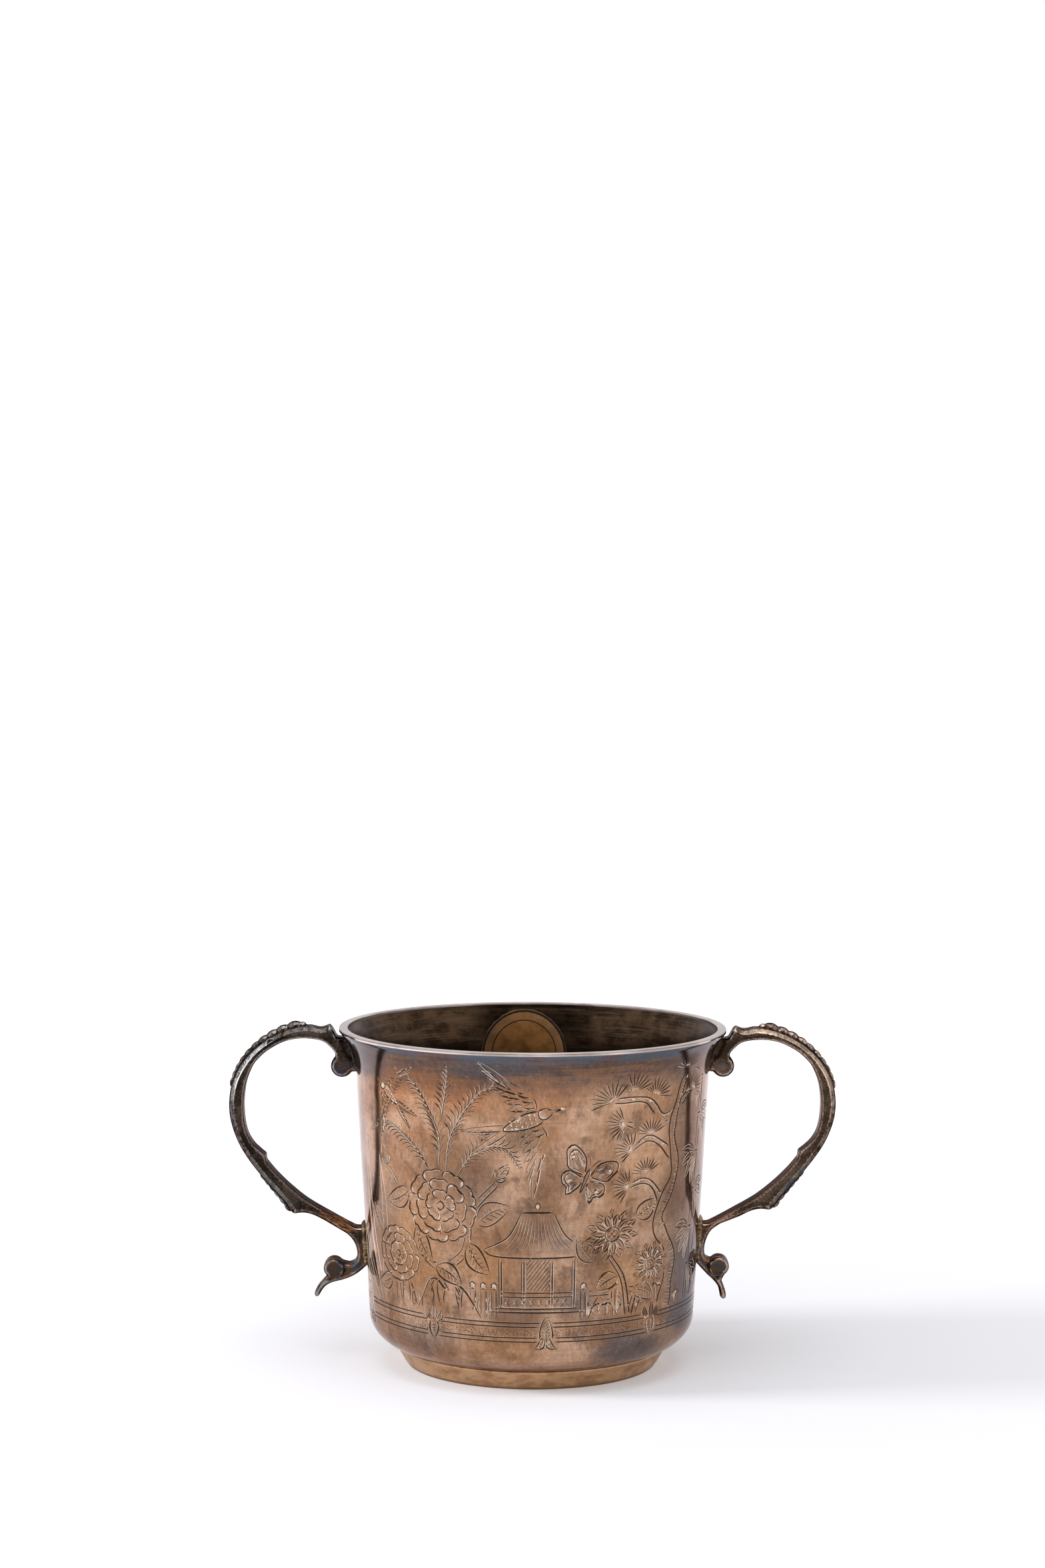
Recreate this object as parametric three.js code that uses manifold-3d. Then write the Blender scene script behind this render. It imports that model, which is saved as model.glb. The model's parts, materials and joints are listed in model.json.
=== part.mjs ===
// A two-handled silver cup: a raised body with a flared lip on a low soldered foot, two cast scroll
// handles with beaded backs, and a round paper label inside. Millimetres, +Z up, standing on z = 0
// with its axis on Z. +X points to the right-hand handle and the viewer stands on the -Y side.
import * as THREE from "three";
import { mergeVertices } from "three/addons/utils/BufferGeometryUtils.js";
import Module from "manifold-3d";

const wasm = await Module();
wasm.setup();

// Driving sizes of the raised body
const cupHeight = 90;
const shoulderRadius = 47.1;
const wallLean = 3.7;
const flareWidth = 4.6;
const flareHeight = 14;
const lipWidth = 2.4;
const lipEdgeHeight = 0.8;
const wallThickness = 0.9;
const floorThickness = 1.1;
const cornerWidth = 12.2;
const cornerHeight = 9.2;
const floorHeight = 4.5;

// Driving sizes of the foot: a strip bent to a ring and soldered under the body
const footInset = 6.8;
const footTaper = 3.2;
const footThickness = 1.2;
const footSeamWidth = 1.4;
const footSeamDrop = 1.2;

// Driving sizes of the handles
const handleReach = 34.2;
const leafRise = 0.7;
const tailTipHeight = 16.7;
const handleWidth = 6.2;
const handleBevel = 0.45;
const knobRadius = 2.7;
const voluteRadius = 3;
const rightHandleLift = 1.6;

// Driving sizes of the beads along a handle's back
const upperBeadRadius = 1.55;
const upperBeadPitch = 3.15;
const upperBeadStart = 9.6;
const lowerBeadRadius = 1.1;
const lowerBeadPitch = 2.3;
const lowerBeadEnd = 1.5;

// Driving sizes of the solder, the label and the gap between pieces that touch
const solderThickness = 0.4;
const solderWidth = 4;
const labelRadius = 12;
const labelThickness = 0.25;
const labelDrop = 13.7;
const labelOffset = -2.4;
const jointGap = 0.3;

// Counts and the shape of the lip's flare
const turnSegments = 64;
const cornerSteps = 8;
const flareSteps = 6;
const upperBeadCount = 10;
const lowerBeadCount = 6;
const outerFlarePower = 2.5;
const innerFlarePower = 2.2;
const beadPitchRatio = 0.95;
const beadSpreadShare = 1.35;
const beadSides = 8;
const beadRings = 6;
const spanSteps = 2;

// Shares of the handle's reach (outwards from the wall at the point's own height) and of its height
// (upwards from the tail's tip). The back runs from the leaf tip beside the lip over the top and down
// to the lower leaf tip.
const rootTopShares = [
  [-0.17, 0.942],
  [0.059, 0.954],
  [0.055, 0.99],
];
const backShares = [
  [0.074, 1.0],
  [0.143, 0.988],
  [0.225, 0.99],
  [0.316, 0.989],
  [0.424, 0.976],
  [0.564, 0.954],
  [0.702, 0.923],
  [0.83, 0.881],
  [0.921, 0.832],
  [0.973, 0.778],
  [1, 0.72],
  [1.002, 0.661],
  [0.975, 0.601],
  [0.929, 0.547],
  [0.865, 0.496],
  [0.785, 0.445],
  [0.692, 0.393],
  [0.608, 0.345],
  [0.565, 0.314],
];

// The underside of the stem, from the lower leaf tip to the hook's throat
const stemShares = [
  [0.546, 0.308],
  [0.475, 0.312],
  [0.4, 0.305],
  [0.309, 0.284],
];

// The inside of the loop: from the lower joint up the stem to the step, and from the step to the neck
const innerStemShares = [
  [-0.035, 0.262],
  [0.054, 0.259],
  [0.106, 0.268],
  [0.256, 0.307],
  [0.428, 0.355],
  [0.556, 0.404],
  [0.66, 0.453],
  [0.737, 0.498],
];
const innerLoopShares = [
  [0.74, 0.522],
  [0.787, 0.541],
  [0.833, 0.564],
  [0.87, 0.597],
  [0.888, 0.639],
  [0.89, 0.696],
  [0.877, 0.745],
  [0.851, 0.793],
  [0.798, 0.845],
  [0.733, 0.876],
  [0.644, 0.904],
  [0.494, 0.934],
  [0.353, 0.946],
  [0.237, 0.943],
  [0.181, 0.934],
  [0.151, 0.915],
  [0.132, 0.897],
];
const voluteCentreShares = [0.102, 0.847];
const voluteFootShares = [-0.095, 0.825];

// Each casting's own hook, knob and pointed tail: the right one hugs the wall more than the left
const leftTerminal = {
  hookShares: [
    [0.212, 0.257],
    [0.134, 0.234],
    [0.09, 0.208],
    [0.071, 0.181],
    [0.071, 0.157],
    [0.094, 0.135],
    [0.139, 0.126],
  ],
  knobCentreShares: [0.261, 0.11],
  tailOuterShares: [
    [0.352, 0.064],
    [0.392, 0.044],
    [0.422, 0.02],
    [0.426, 0.006],
    [0.412, 0.0],
  ],
  tailInnerShares: [
    [0.391, 0.005],
    [0.367, 0.024],
    [0.329, 0.044],
    [0.274, 0.057],
    [0.203, 0.065],
    [0.134, 0.077],
    [0.067, 0.096],
    [-0.017, 0.128],
  ],
};
const rightTerminal = {
  hookShares: [
    [0.16, 0.279],
    [0.094, 0.255],
    [0.062, 0.224],
    [0.051, 0.197],
    [0.053, 0.175],
    [0.065, 0.158],
    [0.089, 0.152],
  ],
  knobCentreShares: [0.175, 0.124],
  tailOuterShares: [
    [0.203, 0.07],
    [0.229, 0.045],
    [0.246, 0.022],
    [0.25, 0.005],
    [0.228, -0.002],
  ],
  tailInnerShares: [
    [0.203, 0.008],
    [0.192, 0.03],
    [0.178, 0.049],
    [0.144, 0.069],
    [0.094, 0.09],
    [0.05, 0.111],
    [-0.025, 0.147],
  ],
};

// Angles of the knob's and the volute's round outlines, anticlockwise from the handle's outward axis
const knobArc = [2.44, -0.87];
const voluteArc = [0.96, -2.62];
const arcSteps = 10;

// The stretches of the handle's height where solder joins it to the wall
const upperSolderShares = [0.849, 0.93];
const lowerSolderShares = [0.207, 0.255];

// Places derived from the driving sizes
const baseRadius = shoulderRadius - wallLean;
const lipRadius = shoulderRadius + flareWidth;
const footTopRadius = baseRadius - footInset;
const footBottomRadius = footTopRadius - footTaper;
const cornerTop = floorHeight + cornerHeight;
const floorRadius = baseRadius - cornerWidth;
const flareBottom = cupHeight - lipEdgeHeight - flareHeight;
const handleHeight = cupHeight + leafRise - tailTipHeight;
const labelHeight = cupHeight - labelDrop;

// Colours of the metals and the paper, as the object shows them
const bodyMetal = { color: 0xa98672, roughness: 0.32, metalness: 1 };
const footMetal = { color: 0xa57f5c, roughness: 0.35, metalness: 1 };
const handleMetal = { color: 0x5d4c40, roughness: 0.38, metalness: 1 };
const solderMetal = { color: 0xb9a58c, roughness: 0.45, metalness: 1 };
const labelPaper = { color: 0x9a744c, roughness: 0.85, metalness: 0 };

// A flare that leaves the straight wall gently: t is 0 at its foot and 1 at the lip.
function flareShare(z, power) {
  const t = THREE.MathUtils.clamp((z - flareBottom) / flareHeight, 0, 1);
  return t ** power;
}

// Outer radius of the body at height z, above the lower corner
function outerRadiusAt(z) {
  const t = THREE.MathUtils.clamp((z - cornerTop) / (flareBottom - cornerTop), 0, 1);
  const straight = THREE.MathUtils.lerp(baseRadius, shoulderRadius, t);
  return straight + flareWidth * flareShare(z, outerFlarePower);
}

// Inner radius of the body at height z: the wall thickens to the width of the lip
function innerRadiusAt(z) {
  const t = THREE.MathUtils.clamp((z - cornerTop) / (flareBottom - cornerTop), 0, 1);
  const straight = THREE.MathUtils.lerp(baseRadius, shoulderRadius, t) - wallThickness;
  const lipInner = lipRadius - lipWidth;
  return straight + (lipInner - shoulderRadius + wallThickness) * flareShare(z, innerFlarePower);
}

// Height of the body's underside at radius r, out to the top of the corner
function undersideAt(r) {
  const across = Math.max(r - floorRadius, 0) / cornerWidth;
  return cornerTop - cornerHeight * Math.sqrt(1 - across * across);
}

function lathe(profile) {
  const geometry = new THREE.LatheGeometry(profile, turnSegments);
  geometry.rotateX(Math.PI / 2);
  return geometry;
}

function solidOf(geometry) {
  const bare = geometry.clone();
  bare.deleteAttribute("normal");
  bare.deleteAttribute("uv");
  const merged = mergeVertices(bare);
  const vertProperties = new Float32Array(merged.attributes.position.array);
  const triVerts = new Uint32Array(merged.index.array);
  return new wasm.Manifold(new wasm.Mesh({ numProp: 3, vertProperties, triVerts }));
}

function geometryOf(solid) {
  const mesh = solid.getMesh();
  const geometry = new THREE.BufferGeometry();
  geometry.setAttribute("position", new THREE.BufferAttribute(mesh.vertProperties, mesh.numProp));
  geometry.setIndex(new THREE.BufferAttribute(mesh.triVerts, 1));
  geometry.computeVertexNormals();
  return geometry;
}

function namedMesh(name, geometry, metal) {
  const mesh = new THREE.Mesh(geometry, new THREE.MeshStandardMaterial(metal));
  mesh.name = name;
  return mesh;
}

// Heights from the foot of the flare to its top, both included
function flareHeights() {
  const heights = [];
  for (let i = 0; i <= flareSteps; i += 1) {
    heights.push(flareBottom + (flareHeight * i) / flareSteps);
  }
  return heights;
}

// A quarter of an ellipse from the bottom of a corner up to the wall
function cornerPoints(centreRadius, centreHeight, width, height) {
  const points = [];
  for (let i = 0; i <= cornerSteps; i += 1) {
    const angle = (Math.PI / 2) * (i / cornerSteps);
    const r = centreRadius + width * Math.sin(angle);
    points.push(new THREE.Vector2(r, centreHeight - height * Math.cos(angle)));
  }
  return points;
}

// The raised body: underside, corner, wall, flared lip with a flat top, and the same back inside
function bodyGeometry() {
  const outside = [new THREE.Vector2(0, floorHeight)];
  outside.push(...cornerPoints(floorRadius, cornerTop, cornerWidth, cornerHeight));
  for (const z of flareHeights()) {
    outside.push(new THREE.Vector2(outerRadiusAt(z), z));
  }
  outside.push(new THREE.Vector2(lipRadius, cupHeight));
  const inside = [new THREE.Vector2(0, floorHeight + floorThickness)];
  const innerCornerWidth = cornerWidth - wallThickness;
  const innerCornerHeight = cornerHeight - floorThickness;
  inside.push(...cornerPoints(floorRadius, cornerTop, innerCornerWidth, innerCornerHeight));
  for (const z of flareHeights()) {
    inside.push(new THREE.Vector2(innerRadiusAt(z), z));
  }
  inside.push(new THREE.Vector2(lipRadius - lipWidth, cupHeight));
  return lathe([...outside, ...inside.reverse()]);
}

// The foot: its top edge follows the underside of the body, one gap below it
function footGeometry() {
  const innerTopRadius = footTopRadius - footThickness;
  const innerBottomRadius = footBottomRadius - footThickness;
  return lathe([
    new THREE.Vector2(innerBottomRadius, 0),
    new THREE.Vector2(footBottomRadius, 0),
    new THREE.Vector2(footTopRadius, undersideAt(footTopRadius) - jointGap),
    new THREE.Vector2(innerTopRadius, undersideAt(innerTopRadius) - jointGap),
    new THREE.Vector2(innerBottomRadius, 0),
  ]);
}

// Inner radius of the foot at height z
function footInnerRadiusAt(z) {
  const t = z / (undersideAt(footTopRadius) - jointGap);
  return THREE.MathUtils.lerp(footBottomRadius, footTopRadius, t) - footThickness;
}

// The fillet of solder that runs round inside the foot, in the corner under the body
function footSeamGeometry() {
  const topHeight = undersideAt(footTopRadius - footThickness - footSeamWidth) - jointGap;
  const outerTopRadius = footInnerRadiusAt(topHeight) - jointGap;
  const lowHeight = topHeight - footSeamDrop;
  return lathe([
    new THREE.Vector2(footInnerRadiusAt(lowHeight) - jointGap, lowHeight),
    new THREE.Vector2(outerTopRadius, topHeight),
    new THREE.Vector2(outerTopRadius - footSeamWidth, topHeight),
    new THREE.Vector2(footInnerRadiusAt(lowHeight) - jointGap, lowHeight),
  ]);
}

// Height of a share of the handle's height above the table
function handleHeightAt(share) {
  return tailTipHeight + handleHeight * share;
}

// A casting's outline in its own plane: x outwards from the cup's axis, y up. Each point stands off
// the wall at its own height, so the casting follows the wall's lean and flare. The lift raises the
// lower half of the loop and fades out towards the lip.
function placed(share, lift) {
  const height = handleHeightAt(share[1]);
  const fade = THREE.MathUtils.clamp((1 - share[1]) * 2, 0, 1);
  return new THREE.Vector2(outerRadiusAt(height) + handleReach * share[0], height + lift * fade);
}

function splinePoints(shares, lift, perSpan) {
  const curve = new THREE.SplineCurve(shares.map((share) => placed(share, lift)));
  return curve.getPoints((shares.length - 1) * perSpan);
}

function arcPoints(centre, radius, angles) {
  const points = [];
  for (let i = 0; i <= arcSteps; i += 1) {
    const angle = THREE.MathUtils.lerp(angles[0], angles[1], i / arcSteps);
    const x = centre.x + radius * Math.cos(angle);
    points.push(new THREE.Vector2(x, centre.y + radius * Math.sin(angle)));
  }
  return points;
}

function handleOutline(terminal, lift) {
  const { hookShares, knobCentreShares, tailOuterShares, tailInnerShares } = terminal;
  return [
    ...rootTopShares.map((share) => placed(share, lift)),
    ...splinePoints(backShares, lift, spanSteps),
    ...stemShares.map((share) => placed(share, lift)),
    ...splinePoints(hookShares, 0, spanSteps),
    ...arcPoints(placed(knobCentreShares, 0), knobRadius, knobArc),
    ...splinePoints(tailOuterShares, 0, 1),
    ...splinePoints(tailInnerShares, 0, 1),
    ...splinePoints(innerStemShares, lift, 1),
    ...splinePoints(innerLoopShares, lift, 1),
    ...arcPoints(placed(voluteCentreShares, lift), voluteRadius, voluteArc),
    placed(voluteFootShares, lift),
  ];
}

// The flat casting with chamfered edges, standing in the plane y = 0 on the side given by its sign
function castingSolid(outline, side) {
  const shape = new THREE.Shape(outline.map((p) => new THREE.Vector2(side * p.x, p.y)));
  const geometry = new THREE.ExtrudeGeometry(shape, {
    depth: handleWidth - 2 * handleBevel,
    bevelEnabled: true,
    bevelThickness: handleBevel,
    bevelSize: handleBevel,
    bevelOffset: -handleBevel,
    bevelSegments: 1,
  });
  geometry.rotateX(Math.PI / 2);
  geometry.translate(0, handleWidth / 2 - handleBevel, 0);
  return solidOf(geometry);
}

// A bead, a little wider across the strap than along it
function beadSolid(centre, radius, side) {
  const bead = new THREE.SphereGeometry(radius, beadSides, beadRings);
  bead.scale(1, beadSpreadShare, 1);
  bead.translate(side * centre.x, 0, centre.y);
  return solidOf(bead);
}

// Beads on the back: the upper row shrinks as it runs outwards, the lower row grows to its leaf
function beadSolids(lift, side) {
  const back = new THREE.SplineCurve(backShares.map((share) => placed(share, lift)));
  const length = back.getLength();
  const beads = [];
  let along = upperBeadStart;
  for (let i = 0; i < upperBeadCount; i += 1) {
    const radius = upperBeadRadius * beadPitchRatio ** (2 * i);
    beads.push(beadSolid(back.getPointAt(along / length), radius, side));
    along += upperBeadPitch * beadPitchRatio ** i;
  }
  for (let i = 0; i < lowerBeadCount; i += 1) {
    const fromEnd = lowerBeadEnd + lowerBeadPitch * i;
    const radius = lowerBeadRadius * beadPitchRatio ** (2 * i);
    beads.push(beadSolid(back.getPointAt(1 - fromEnd / length), radius, side));
  }
  return beads;
}

// The space that the body needs: its outside made larger by one gap
function bodyClearance() {
  const top = cupHeight + jointGap;
  const profile = [new THREE.Vector2(0, cornerTop)];
  profile.push(new THREE.Vector2(outerRadiusAt(cornerTop) + jointGap, cornerTop));
  for (const z of flareHeights()) {
    profile.push(new THREE.Vector2(outerRadiusAt(z) + jointGap, z));
  }
  profile.push(new THREE.Vector2(lipRadius + jointGap, top));
  profile.push(new THREE.Vector2(0, top));
  return solidOf(lathe(profile));
}

// A curved sheet that follows the wall from one height to another: radii as functions of height
function wallSheet(bottom, top, innerRadius, outerRadius) {
  const inner = [];
  const outer = [];
  for (let i = 0; i <= flareSteps; i += 1) {
    const z = THREE.MathUtils.lerp(bottom, top, i / flareSteps);
    outer.push(new THREE.Vector2(outerRadius(z), z));
    inner.push(new THREE.Vector2(innerRadius(z), z));
  }
  return solidOf(lathe([...outer, ...inner.reverse(), outer[0].clone()]));
}

// Solder between a handle and the wall; the spread makes the pocket that the handle keeps for it
function solderSolid(bottom, top, side, spread) {
  const inner = (z) => outerRadiusAt(z) + jointGap - spread;
  const outer = (z) => outerRadiusAt(z) + jointGap + solderThickness + spread;
  const sheet = wallSheet(bottom - spread, top + spread, inner, outer);
  const block = new THREE.BoxGeometry(2 * lipRadius, solderWidth + 2 * spread, 2 * cupHeight);
  block.translate(side * lipRadius, 0, cupHeight);
  return sheet.intersect(solidOf(block));
}

// One casting with its two solder joints; its lower joint rises with the casting's own lift
function handlePieces(word, side, terminal, lift) {
  const [upperBottom, upperTop] = upperSolderShares.map(handleHeightAt);
  const [lowerBottom, lowerTop] = lowerSolderShares.map(handleHeightAt);
  const joints = [
    { name: "solder_upper_" + word, bottom: upperBottom, top: upperTop },
    { name: "solder_lower_" + word, bottom: lowerBottom + lift, top: lowerTop + lift },
  ];
  let casting = castingSolid(handleOutline(terminal, lift), side);
  for (const bead of beadSolids(lift, side)) {
    casting = casting.add(bead);
  }
  casting = casting.subtract(bodyClearance());
  const group = new THREE.Group();
  for (const joint of joints) {
    casting = casting.subtract(solderSolid(joint.bottom, joint.top, side, jointGap));
    const solder = solderSolid(joint.bottom, joint.top, side, 0);
    group.add(namedMesh(joint.name, geometryOf(solder), solderMetal));
  }
  group.add(namedMesh("handle_" + word, geometryOf(casting), handleMetal));
  return group;
}

// The round paper label, pasted inside the back wall under the lip
function labelGeometry() {
  const outer = (z) => innerRadiusAt(z) - jointGap;
  const inner = (z) => outer(z) - labelThickness;
  const sheet = wallSheet(labelHeight - labelRadius, labelHeight + labelRadius, inner, outer);
  const punch = new THREE.CylinderGeometry(labelRadius, labelRadius, lipRadius, turnSegments / 2);
  punch.translate(labelOffset, lipRadius, labelHeight);
  return geometryOf(sheet.intersect(solidOf(punch)));
}

const cup = new THREE.Group();
cup.add(namedMesh("cup_body", bodyGeometry(), bodyMetal));
cup.add(namedMesh("foot_ring", footGeometry(), footMetal));
cup.add(namedMesh("foot_solder_seam", footSeamGeometry(), solderMetal));
cup.add(handlePieces("left", -1, leftTerminal, 0));
cup.add(handlePieces("right", 1, rightTerminal, rightHandleLift));
cup.add(namedMesh("paper_label", labelGeometry(), labelPaper));

export default cup;
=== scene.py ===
# %% [markdown]
# # A two-handled silver cup, dressed over its CAD frame
# The real cup is a sheet of silver raised with hammers, a foot ring soldered under it, two cast
# handles soldered to its sides and an old paper label pasted inside. An engraver cut a garden round
# the wall, and centuries of handling left a brown and blue tarnish. The CAD frame gives every piece
# its size and place. This lesson makes the same pieces again as fine meshes, with the engraving as
# real grooves, and then works out the tarnish from noise, height and wear.

# %% Load the frame and the libraries
import json
import math
from functools import cached_property

import bpy
import numpy as np
from mathutils import Matrix, Vector
from mathutils.geometry import delaunay_2d_cdt

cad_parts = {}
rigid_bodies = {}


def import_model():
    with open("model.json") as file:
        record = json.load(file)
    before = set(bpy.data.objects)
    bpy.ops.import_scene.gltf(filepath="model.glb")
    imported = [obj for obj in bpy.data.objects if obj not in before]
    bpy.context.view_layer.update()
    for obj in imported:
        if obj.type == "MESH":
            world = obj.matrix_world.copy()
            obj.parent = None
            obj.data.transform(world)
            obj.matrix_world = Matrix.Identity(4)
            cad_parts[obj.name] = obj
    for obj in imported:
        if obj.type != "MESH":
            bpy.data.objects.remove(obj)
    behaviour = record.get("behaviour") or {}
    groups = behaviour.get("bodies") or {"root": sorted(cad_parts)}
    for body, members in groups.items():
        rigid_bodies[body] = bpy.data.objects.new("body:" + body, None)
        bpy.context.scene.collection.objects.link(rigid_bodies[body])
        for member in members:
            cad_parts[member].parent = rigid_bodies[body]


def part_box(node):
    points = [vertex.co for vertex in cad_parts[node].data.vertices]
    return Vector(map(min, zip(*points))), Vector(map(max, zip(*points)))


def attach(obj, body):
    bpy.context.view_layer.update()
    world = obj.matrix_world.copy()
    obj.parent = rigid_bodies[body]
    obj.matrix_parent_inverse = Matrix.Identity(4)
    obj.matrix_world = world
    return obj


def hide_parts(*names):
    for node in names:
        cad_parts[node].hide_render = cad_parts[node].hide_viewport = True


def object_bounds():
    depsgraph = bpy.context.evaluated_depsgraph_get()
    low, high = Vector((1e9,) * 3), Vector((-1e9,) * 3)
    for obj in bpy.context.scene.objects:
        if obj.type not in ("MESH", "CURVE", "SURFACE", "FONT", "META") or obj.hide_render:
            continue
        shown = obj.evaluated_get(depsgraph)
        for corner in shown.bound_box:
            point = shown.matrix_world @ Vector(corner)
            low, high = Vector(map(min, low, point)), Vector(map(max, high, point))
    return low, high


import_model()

MM = 0.001
CAD_BOX = [list(corner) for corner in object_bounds()]
print("CAD box in millimetres:", [[round(value / MM, 1) for value in corner] for corner in CAD_BOX])

# %% [markdown]
# ## The camera
# A long lens stands well back and a little above the lip, so that the mouth opens as a narrow ellipse.
# The place, the pitch and the lens were fitted to the lip's and the foot's ellipses. The lens goes
# with the long side of the frame, which is its height, and the whole frame is used without shift.

# %% Set the camera
PHOTO_WIDTH, PHOTO_HEIGHT = 1568, 2353
SENSOR = 36.0
FOCAL_PIXELS = 4805.2
CAMERA_DISTANCE, CAMERA_HEIGHT = 850.0, 205.68
CAMERA_PITCH, CAMERA_YAW, CAMERA_ROLL = 0.05979, -0.00349, 0.0040

def camera_matrix(place, yaw, pitch, roll):
    """The camera looks along +Y turned by the yaw and lowered by the pitch, then rolls about that."""
    forward = np.array((
        math.sin(yaw) * math.cos(pitch),
        math.cos(yaw) * math.cos(pitch),
        -math.sin(pitch),
    ))
    level = np.cross(forward, (0.0, 0.0, 1.0))
    level /= np.linalg.norm(level)
    upright = np.cross(level, forward)
    right = level * math.cos(roll) + upright * math.sin(roll)
    up = upright * math.cos(roll) - level * math.sin(roll)
    matrix = np.eye(4)
    matrix[:3, :4] = np.column_stack((right, up, -forward, place))
    return Matrix(matrix.tolist())

camera_data = bpy.data.cameras.new("photo_camera")
camera_data.sensor_width = SENSOR
camera_data.lens = SENSOR * FOCAL_PIXELS / max(PHOTO_WIDTH, PHOTO_HEIGHT)
camera = bpy.data.objects.new("photo_camera", camera_data)
camera_place = np.array((0.0, -CAMERA_DISTANCE, CAMERA_HEIGHT)) * MM
camera.matrix_world = camera_matrix(camera_place, CAMERA_YAW, CAMERA_PITCH, CAMERA_ROLL)
bpy.context.scene.collection.objects.link(camera)
bpy.context.scene.camera = camera
bpy.context.scene.view_settings.view_transform = "Standard"
print("lens", round(camera_data.lens, 2), "mm")

# %% [markdown]
# ## Meshes from arrays
# Every surface below is worked out as a whole array of points in millimetres. One helper turns points
# and faces into a mesh object at the origin, and one numbers the faces of a grid, so that a lathe
# shape or a ball is only a formula for its points.

# %% Turn arrays into mesh objects
def new_piece(name, points, faces):
    """One mesh object from points in millimetres and arrays of faces, each with rows of one length."""
    corners = np.concatenate([rows.ravel() for rows in faces])
    sizes = np.concatenate([np.full(len(rows), rows.shape[1]) for rows in faces])
    mesh = bpy.data.meshes.new(name)
    mesh.vertices.add(len(points))
    mesh.vertices.foreach_set("co", (np.asarray(points, float) * MM).ravel())
    mesh.loops.add(len(corners))
    mesh.loops.foreach_set("vertex_index", corners.astype(np.int32))
    mesh.polygons.add(len(sizes))
    mesh.polygons.foreach_set("loop_start", (np.cumsum(sizes) - sizes).astype(np.int32))
    mesh.polygons.foreach_set("use_smooth", np.ones(len(sizes), bool))
    mesh.update(calc_edges=True)
    piece = bpy.data.objects.new(name, mesh)
    bpy.context.scene.collection.objects.link(piece)
    print(name, "has", len(points), "points and", len(sizes), "faces")
    return piece

def grid_faces(rows, columns, first=0, close_rows=False):
    """Quads of a grid of rows by columns whose columns join into a ring, and its rows too if asked."""
    row = np.arange(rows if close_rows else rows - 1)[:, None]
    column = np.arange(columns)[None, :]
    next_row, next_column = (row + 1) % rows, (column + 1) % columns
    quads = np.stack((
        row * columns + column,
        row * columns + next_column,
        next_row * columns + next_column,
        next_row * columns + column,
    ), axis=-1)
    return quads.reshape(-1, 4) + first

def turned(profile, angles):
    """Points of a profile of (radius, height) rows carried round the Z axis, the front being angle 0."""
    radius, height = profile[:, :1], profile[:, 1:]
    x = radius * np.sin(angles)
    y = -radius * np.cos(angles)
    return np.stack((x, y, np.broadcast_to(height, x.shape)), axis=-1).reshape(-1, 3)

def smooth_curve(points, step):
    """A Catmull-Rom curve through the points, cut into equal lengths of about one step."""
    points = np.asarray(points, float)
    padded = np.vstack((2 * points[0] - points[1], points, 2 * points[-1] - points[-2]))
    a, b, c, d = (padded[i:len(padded) - 3 + i, None, :] for i in range(4))
    t = np.linspace(0, 1, 12, endpoint=False)[None, :, None]
    curve = b + 0.5 * t * (c - a + t * (2 * a - 5 * b + 4 * c - d + t * (3 * (b - c) + d - a)))
    return even_steps(np.vstack((curve.reshape(-1, 2), points[-1])), step)

def lengths_along(curve):
    """How far each point lies along a line from its start."""
    return np.concatenate(([0.0], np.cumsum(np.linalg.norm(np.diff(curve, axis=0), axis=1))))

def even_steps(curve, step):
    """The same line with its points spread evenly, about one step apart."""
    along = lengths_along(curve)
    return at(np.linspace(0, along[-1], max(3, int(round(along[-1] / step)) + 1)), along, curve)

def unit(rows):
    """Rows scaled to length 1."""
    return rows / np.maximum(np.linalg.norm(rows, axis=1, keepdims=True), 1e-12)

def heading(angle, flatness=1.0):
    """The unit direction of an angle, its upward part flattened if asked."""
    return np.array((math.cos(angle), flatness * math.sin(angle)))

def left_of(direction):
    """The same direction turned a quarter to the left."""
    return np.array((-direction[1], direction[0]))

def turning(angle):
    """The matrix that turns rows of points by an angle."""
    return np.array((heading(angle), left_of(heading(angle))))

def directions(curve):
    """The slope at each point of a curve, and the unit direction square to it, to the left."""
    slope = np.gradient(curve, axis=0)
    return slope, unit(np.column_stack((-slope[:, 1], slope[:, 0])))

def at(places, shares, rows):
    """The rows at places between the shares that belong to the given rows."""
    return np.stack([np.interp(places, shares, axis) for axis in rows.T], axis=-1)

def inside(points, outline):
    """Whether each point lies in the outline: a ray to the right crosses its sides an odd number of times."""
    x, y = points[:, :1], points[:, 1:]
    x0, y0 = outline[:, 0], outline[:, 1]
    x1, y1 = np.roll(x0, -1), np.roll(y0, -1)
    spans = (y0 > y) != (y1 > y)
    rise = np.where(y1 == y0, 1.0, y1 - y0)
    crossing = x0 + (y - y0) * (x1 - x0) / rise
    return (spans & (x < crossing)).sum(axis=1) % 2 == 1

# %% [markdown]
# ## The raised wall
# A silversmith hammers the cup up from one disc: a flat floor, a round corner, a wall that leans out
# a little and a lip that flares and is left thick. The outside is written as a function of one drawing
# height. Above the corner that is the real height, and below it the same measure runs on round the
# corner, so that the engraver's paper wraps round the whole cup without a jump.

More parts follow.
